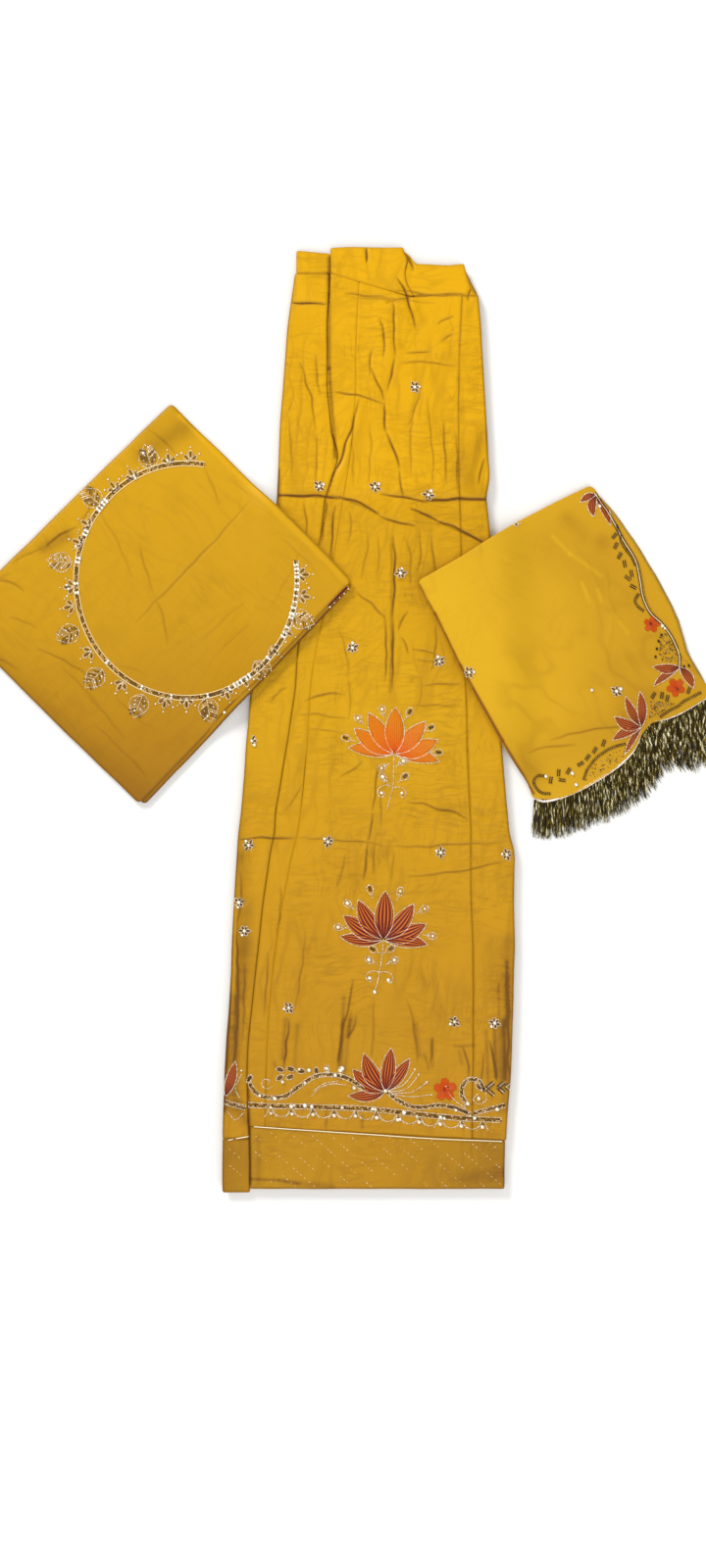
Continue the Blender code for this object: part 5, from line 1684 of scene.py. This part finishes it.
# %% Embroidery on the veil
VEIL_EDGE = (
    (279.8, 245.4), (296.8, 220), (310.6, 194.5), (324.4, 171.2), (328.6, 152.1), (332.3, 132),
    (339.2, 117.1), (354, 102.3), (365.7, 84.3), (371.5, 67.3), (371.4, 56.7),
)
VEIL_HEM = (
    (215.2, -83.2), (223.7, -86.4), (240.6, -83.2), (262.5, -74.7), (285.1, -62), (305.3, -48.2),
    (321.2, -31.3), (324.9, -23.9), (331.8, -8), (338.1, -2.1), (362.5, 4.8), (380.5, 13.7), (392.2, 20.7),
    (399.6, 24.9),
)
VEIL_DARK = (
    (
        (268.2, -64.1), (271.4, -54.6), (275.6, -48.2), (282, -40.8), (290.4, -34.5), (301, -29.2),
        (312.7, -26),
    ),
    ((226.8, -61), (217.3, -61), (213.6, -66.2), (216.2, -73.7), (222.6, -79), (231.1, -80)),
    ((394.3, 29.7), (384.8, 24.5), (376.3, 20.1), (369.7, 14.7), (362.2, 11.1), (351.4, 3.7)),
    ((326.8, 136.2), (323.3, 129.3), (326.8, 122.5), (332.2, 118.5)),
    ((303.7, 210.6), (307, 200.6), (308.6, 192.8), (313.8, 183.9), (319.3, 177.1), (323.3, 168.2)),
)
VEIL_PAIRS = (
    ((301, 199.6), 50), ((302.5, 188.8), 63), ((306.6, 178), 63), ((312, 169.1), 100),
    ((319.4, 158.5), 100), ((315.4, 153.6), -37), ((321.4, 144.2), -30), ((289.4, -25.1), 70),
    ((279.8, -32.9), 60), ((272.1, -40.5), 55), ((264.4, -47.6), 30), ((240.6, -57.2), 85),
    ((244.4, -65.2), -8), ((232.1, -65.2), 80), ((251.2, -55.3), 60), ((343.2, 26.6), 60),
    ((352.5, 26.6), 80), ((358.3, 23.4), 75), ((381.6, 32), 70),
)
VEIL_DOTS = (
    (351.9, 92), (348.7, 85.5), (347, 76.9), (345.6, 68.4), (369.4, 33.4), (340.3, 104.4), (381.6, 58.8),
    (376.3, 57.8),
)
VEIL_GLINTS = (
    (226.8, -61), (255.5, -57.8), (259.7, -70.1), (355.7, 99.1), (353, 101.8), (276.7, 32.3),
    (285.1, 231.6),
)
VEIL_PETALS = from_root(
    (330.8, -6.9), ((328.6, 31), 9.0, -1.5), ((313, 25.5), 8.5, 2.0), ((300.5, 3.7), 10.5, 4.0),
    ((298.9, -22), 9.5, -2.0), ((312.7, -37.2), 5.5, -1.0),
)
VEIL_PETALS += from_root((372, 56.9), ((342.7, 57.8), 9.0, 2.0), ((343.2, 36.4), 7.0, -2.0))
VEIL_PETALS += from_root(
    (280.3, 244.3), ((263.9, 235.9), 6.5, -1.5), ((278.8, 220), 8.5, -3.0), ((296.8, 210.9), 7.5, 2.0),
)
VEIL_PETALS += from_root((372, 56.9), ((386.9, 34.5), 9.0, 2.0))
STIPPLED = (
    (
        (268.2, -69.4), (274.5, -53.5), (289.4, -39.2), (314.8, -29.7), (320.1, -31.3), (305.3, -45.1),
        (285.1, -59.4),
    ),
    ((349.8, 89.6), (356.2, 94.9), (367.8, 76.9), (368.9, 63.1), (353, 62), (347.7, 76.9)),
    ((339.2, 21.7), (357.2, 19.6), (367.8, 18.6), (350.9, 6.9), (339.2, 1.6)),
)
edge_line = flowing(VEIL_EDGE)
veil.deep += [offset_line(edge_line, aside) for aside in (-1.3, 1.3)]
veil.cords.append(edge_line)
for line in VEIL_DARK:
    veil.deep += [offset_line(flowing(line), aside) for aside in (-0.9, 0.9)]
for place, heading in VEIL_PAIRS:
    add_bars(veil, place, heading, -3.8, 3.8, 1.15)
for place in VEIL_DOTS:
    add_bars(veil, place, 90, -1.4, 1.4, 0.6)
veil.sequins += [[place] for place in VEIL_GLINTS]
add_petals(veil, "red silk", VEIL_PETALS, 1.06, 0.015)
add_flower("bright orange silk", (367.6, 35.3), 11.0, 50)
add_flower("bright orange silk", (341.3, 103.4), 9.5, 80)

draw = random.Random(12)
stipples = []
for field in STIPPLED:
    ring = np.array(field)
    low, high = ring.min(0), ring.max(0)
    strewn = np.array([(draw.uniform(low[0], high[0]), draw.uniform(low[1], high[1])) for _ in range(260)])
    stipples += [[tuple(place)] for place in strewn[inside(strewn, ring)]]
print("veil:", len(veil.deep), "dark rows,", len(veil.bars), "bars,", len(stipples), "seed beads")

# %% Petal meshes
PETAL_SINK = 0.5


def build_petals(name, silk, petals):
    """Low domed pads, one for each petal, with U along the petal and V across it."""
    mesh = bmesh.new()
    chart = mesh.loops.layers.uv.new("petal")
    for petal, level in petals:
        grids = [[], []]
        for i in range(PETAL_STEPS + 1):
            along = min(max(i / PETAL_STEPS, 0.02), 0.96)
            for k in range(PETAL_SIDES + 1):
                across = 2 * k / PETAL_SIDES - 1
                x, y = petal_place(petal, along, across)
                dome = PETAL_DOME * (1 - across**2) * min(1, 6 * along)
                z = max(cloth_top(x, y)[0], PETAL_SINK) + level
                for grid, height in zip(grids, (z + dome, z - PETAL_SINK)):
                    grid.append((mesh.verts.new((x * MM, y * MM, height * MM)), along, across / 2 + 0.5))
        wide = PETAL_SIDES + 1
        rim = list(range(wide)) + [i * wide + wide - 1 for i in range(1, PETAL_STEPS + 1)]
        rim += [PETAL_STEPS * wide + k for k in range(wide - 2, -1, -1)]
        rim += [i * wide for i in range(PETAL_STEPS - 1, 0, -1)]
        quads = []
        for i in range(PETAL_STEPS):
            quads += [(a, a + wide, a + wide + 1, a + 1) for a in range(i * wide, i * wide + wide - 1)]
        faces = [[grids[0][a] for a in quad[::-1]] for quad in quads]
        faces += [[grids[1][a] for a in quad] for quad in quads]
        for here, after in zip(rim, rim[1:] + rim[:1]):
            faces.append([grids[0][here], grids[1][here], grids[1][after], grids[0][after]])
        for corners in faces:
            face = mesh.faces.new([corner[0] for corner in corners])
            for loop, corner in zip(face.loops, corners):
                loop[chart].uv = corner[1:]
    bmesh.ops.recalc_face_normals(mesh, faces=mesh.faces)
    finished(name, mesh).data.materials.append(materials[silk])


VEIL_LEFT_SIDE = 190.0
for silk, petals in silk_petals.items():
    for garment in ("skirt", "veil"):
        here = [entry for entry in petals if (entry[0].root[0] > VEIL_LEFT_SIDE) == (garment == "veil")]
        if here:
            build_petals(f"{garment}_{silk.replace(' ', '_')}_petals", silk, here)

# %% Beads, bugles, sequins and cords of each garment
Kind = namedtuple("Kind", "part tree lift finish values")
# Sequins and stars draw their glint near the top, so their near-white colour is painted highlight.
KINDS = (
    Kind("pale", bead_tree, 0.45, "gold beads", {"Pitch": 1.5, "Long": 1.4, "Wide": 1.3, "Dull": 0.64}),
    Kind("dark", bead_tree, 0.6, "gold beads", {"Pitch": 2.3, "Long": 2.3, "Wide": 1.6, "Bright": 0.78}),
    Kind("deep", bead_tree, 0.6, "gold beads", {"Pitch": 2.3, "Long": 2.3, "Wide": 1.5, "Bright": 0.36}),
    Kind("bugles", cord_tree, 0.6, "gold beads", {"Wide": 1.0, "Pitch": 9, "Dull": 0.25, "Bright": 0.8}),
    Kind("bars", cord_tree, 0.6, "gold beads", {"Wide": 1.2, "Pitch": 9, "Bright": 0.36}),
    Kind("sequins", sequin_tree, 1.0, "gold beads", {"Wide": 3.8, "Dull": 0.9}),
    Kind("stars", sequin_tree, 1.1, "gold beads", {"Wide": 4.6, "Dull": 0.8, "Tilt": 0.35}),
    Kind("dots", sequin_tree, 0.7, "gold beads", {"Wide": 2.2, "Dull": 0.7}),
    Kind("cords", cord_tree, 0.4, "couched gold thread", {"Wide": 0.95, "Dull": 0.6}),
)
LENGTHS = ("Pitch", "Long", "Wide")


def sew(name, lines, lift, tree, seed, finish, **values):
    """Grow one kind of work on flat lines, with its lengths in millimetres."""
    sizes = {key: value * MM if key in LENGTHS else value for key, value in values.items()}
    grown(name, lined_mesh(name, lines, lift), tree, Seed=seed, Material=materials[finish], **sizes)


for garment, work in works.items():
    for number, kind in enumerate(KINDS):
        lines = kept_on(garment, getattr(work, kind.part))
        if lines:
            sew(f"{garment}_{kind.part}", lines, kind.lift, kind.tree, number + 1, kind.finish, **kind.values)

gold, running = "couched gold thread", {"Pitch": 4.4, "Long": 2.9, "Wide": 0.6, "Dull": 0.2}
sew("hem_stitches", hem_stitches, 0.15, bead_tree, 7, gold, **running)
sew("hem_gold_lines", hem_lines, 1.4, cord_tree, 8, gold, Dull=0.85, Wide=1.2)
sew("veil_seed_beads", stipples, 0.3, sequin_tree, 9, "gold beads", Wide=1.0, Dull=0.15, Bright=0.58)
SELVEDGE = ((11.6, 142.8), (7, 137.8), (2, 133.1), (-3.6, 127.6), (-9, 122.4))
sew("blouse_selvedge", kept_on("blouse", [flowing(SELVEDGE)]), 0.4, cord_tree, 12, "red silk", Wide=2.6)

# %% [markdown]
# The fringe is some thousands of flat metal threads that leave the braid and fall to the surface. Each is a
# line of a few points, set on the braid by a Geometry Nodes tree. The braid's own mesh carries the way and
# reach of the threads at each place, so the locks fan out as they do on the real hem.

# %% A tree for fringe threads
def vector_maths(tree, operation, first, second=None):
    """A Vector Math node on an output and another one or a fixed vector, as its output."""
    node = wired(tree, "ShaderNodeVectorMath", {0: first}, operation=operation)
    if second is not None:
        joined(tree, node.inputs[1], second)
    return node.outputs[0]


def build_fringe_tree():
    """Bent threads that leave the braid the way its own mesh says, and waver towards their ends."""
    sizes = (("Threads", COUNT, 1000), ("Wide", VALUE, 0.95 * MM), ("Stray", VALUE, 0.09))
    tree, given, out = new_tree("fringe threads", sizes + (("Wave", VALUE, 2.0 * MM),))
    links = {0: charted_curve(tree, given), "Count": given["Threads"]}
    spaced = wired(tree, "GeometryNodeResampleCurve", links).outputs[0]
    thread = wired(tree, "GeometryNodeCurvePrimitiveLine", End=(1, 0, 0)).outputs[0]
    bent = wired(tree, "GeometryNodeResampleCurve", {0: thread}, Count=6)
    way = wired(tree, "GeometryNodeInputNamedAttribute", data_type="FLOAT_VECTOR", Name="way").outputs[0]
    reach = wired(tree, "ShaderNodeVectorMath", {0: way}, operation="LENGTH").outputs["Value"]
    aimed = vector_maths(tree, "ADD", vector_maths(tree, "NORMALIZE", way), two_drawn(tree, given, "Stray"))
    facing = wired(tree, "FunctionNodeAlignRotationToVector", {"Vector": aimed}, axis="X").outputs[0]
    size = maths(tree, "MULTIPLY", reach, drawn_between(tree, 0.74, 1.05, given["Seed"], 6))
    real = made_real(tree, given, placed(tree, spaced, bent, facing, size))
    share = wired(tree, "GeometryNodeSplineParameter").outputs["Factor"]
    place = wired(tree, "GeometryNodeInputPosition").outputs[0]
    wavy = wired(tree, "ShaderNodeTexNoise", {"Vector": place}, Scale=95.0, Detail=1.0).outputs["Color"]
    flat = vector_maths(tree, "MULTIPLY", vector_maths(tree, "SUBTRACT", wavy, (0.5, 0.5, 0.5)), (2, 2, 0.3))
    links = {0: flat, "Scale": maths(tree, "MULTIPLY", given["Wave"], share)}
    moved = wired(tree, "ShaderNodeVectorMath", links, operation="SCALE").outputs[0]
    waved = wired(tree, "GeometryNodeSetPosition", {0: real, "Offset": moved}).outputs[0]
    thinner = maths(tree, "SUBTRACT", 1.0, maths(tree, "MULTIPLY", share, 0.45))
    tapered = wired(tree, "GeometryNodeSetCurveRadius", {0: waved, "Radius": thinner}).outputs[0]
    radius = maths(tree, "MULTIPLY", given["Wide"], 0.5)
    profile = wired(tree, "GeometryNodeCurvePrimitiveCircle", {"Radius": radius}, Resolution=3).outputs[0]
    links = {"Curve": tapered, "Profile Curve": profile}
    tube = wired(tree, "GeometryNodeCurveToMesh", links, Fill_Caps=True)
    if "Scale" in tube.inputs:
        tree.links.new(wired(tree, "GeometryNodeInputRadius").outputs[0], tube.inputs["Scale"])
    close_tree(tree, given, out, tube.outputs[0])
    return tree


fringe_tree = build_fringe_tree()

# %% The fringe's own finish, with painted highlights
FRINGE_TONES_AND_GLINTS = ((0.0, (44, 34, 3)), (0.42, (104, 86, 20)), (0.7, (166, 148, 60)), (0.88, (255, 250, 214)))


def make_fringe_metal():
    """Dark olive with painted highlights: pale glints on whole threads and in short flashes along them."""
    material, tree, shader = new_material("fringe metal")
    glint = wired(tree, "ShaderNodeAttribute", attribute_name="glint").outputs["Fac"]
    place = wired(tree, "ShaderNodeTexCoord").outputs["Object"]
    flashes = noise_at(tree, mapped(tree, place, Rotation=(0, 0, -0.3), Scale=(760, 110, 200)), 1.0, 1.0)
    share = maths(tree, "MULTIPLY", maths(tree, "SUBTRACT", flashes, 0.54), 3.8)
    bright = maths(tree, "MULTIPLY", maths(tree, "POWER", glint, 1.6), 0.8)
    colour = add_ramp(tree, maths(tree, "ADD", share, bright), FRINGE_TONES_AND_GLINTS)
    tree.links.new(colour, shader.inputs["Base Color"])
    set_inputs(shader, Metallic=0.2, Roughness=0.45, Specular_IOR_Level=0.25)
    return material


materials["fringe metal"] = make_fringe_metal()

# %% The fringe in its locks
Lock = namedtuple("Lock", "share reach lean")
FRINGE = (Lock(0, 42, -3), Lock(0.25, 45, 9), Lock(0.5, 50, 20), Lock(0.7, 58, 26), Lock(0.84, 66, 25))
FRINGE_CORNER = (Lock(0.83, 60, 25), Lock(0.88, 68, 26), Lock(0.93, 52, 20), Lock(1.0, 43, 14))
THREAD_ROWS = (4.6, 3.4, 2.2)
FRINGE_FOOT = 1.1
ROW_FALL = 0.75
Fringe = namedtuple("Fringe", "name locks threads seed")
FRINGES = (
    Fringe("veil_fringe_threads", FRINGE, 330, 3),
    Fringe("veil_fringe_corner_threads", FRINGE_CORNER, 80, 5),
)


def build_fringe(fringe):
    """Rows of threads, one above the other, along one stretch of the braid."""
    line = np.array(flowing(VEIL_HEM, 1.5))
    run = np.concatenate([[0], np.cumsum(np.linalg.norm(np.diff(line, axis=0), axis=1))])
    run /= run[-1]
    shares, reaches, leans = zip(*fringe.locks)
    stretch = [i for i, share in enumerate(run) if shares[0] <= share <= shares[-1]]
    places, ways, edges = [], [], []
    for row in THREAD_ROWS:
        first = len(places)
        fall = FRINGE_FOOT - ROW_FALL * row
        for i in stretch:
            lean = math.radians(np.interp(run[i], shares, leans))
            reach = np.interp(run[i], shares, reaches)
            places.append((line[i][0] * MM, line[i][1] * MM, row * MM))
            ways.append((reach * math.sin(lean) * MM, -reach * math.cos(lean) * MM, fall * MM))
        edges += [(k, k + 1) for k in range(first, len(places) - 1)]
    data = bpy.data.meshes.new(fringe.name)
    data.from_pydata(places, edges, [])
    held = data.attributes.new("way", "FLOAT_VECTOR", "POINT")
    held.data.foreach_set("vector", np.array(ways).ravel())
    values = {"Threads": fringe.threads, "Seed": fringe.seed, "Material": materials["fringe metal"]}
    grown(fringe.name, data, fringe_tree, **values)


for fringe in FRINGES:
    build_fringe(fringe)

# %% The silver braid along the hem
BRAID_HEIGHT = 5.0
CORE_HEIGHT = 4.3
hem = np.array(flowing(VEIL_HEM))
core = [[(x, y, CORE_HEIGHT) for x, y in offset_line(hem, -1.6)]]
loops = [[(x, y, BRAID_HEIGHT) for x, y in offset_line(hem, aside)] for aside in (-2.4, -0.8)]
sew("veil_braid_core", core, 0, cord_tree, 10, "silver braid thread", Wide=2.2, Sides=7)
loop_sizes = {"Pitch": 2.3, "Long": 2.5, "Wide": 1.7, "Dull": 0.3}
sew("veil_braid_loops", loops, 0, bead_tree, 11, "silver braid thread", **loop_sizes)

# %% Carry every piece on the frame
for entry in PANELS + PILES:
    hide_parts(entry.node)
BEADED = {
    "blouse_dark": ("blouse_neck_band",),
    "skirt_dark": ("skirt_bead_band", "skirt_bead_band_under"),
    "veil_deep": ("veil_beaded_edge",),
    "veil_fringe_threads": ("veil_fringe",),
    "veil_fringe_corner_threads": ("veil_fringe_corner",),
}
for name, nodes in BEADED.items():
    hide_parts(*nodes)
for name, piece in pieces.items():
    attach(piece, "root")


for entry in PANELS + PILES:
    garment = entry.name.split("_")[0]
    pile = entry in PILES

low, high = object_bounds()
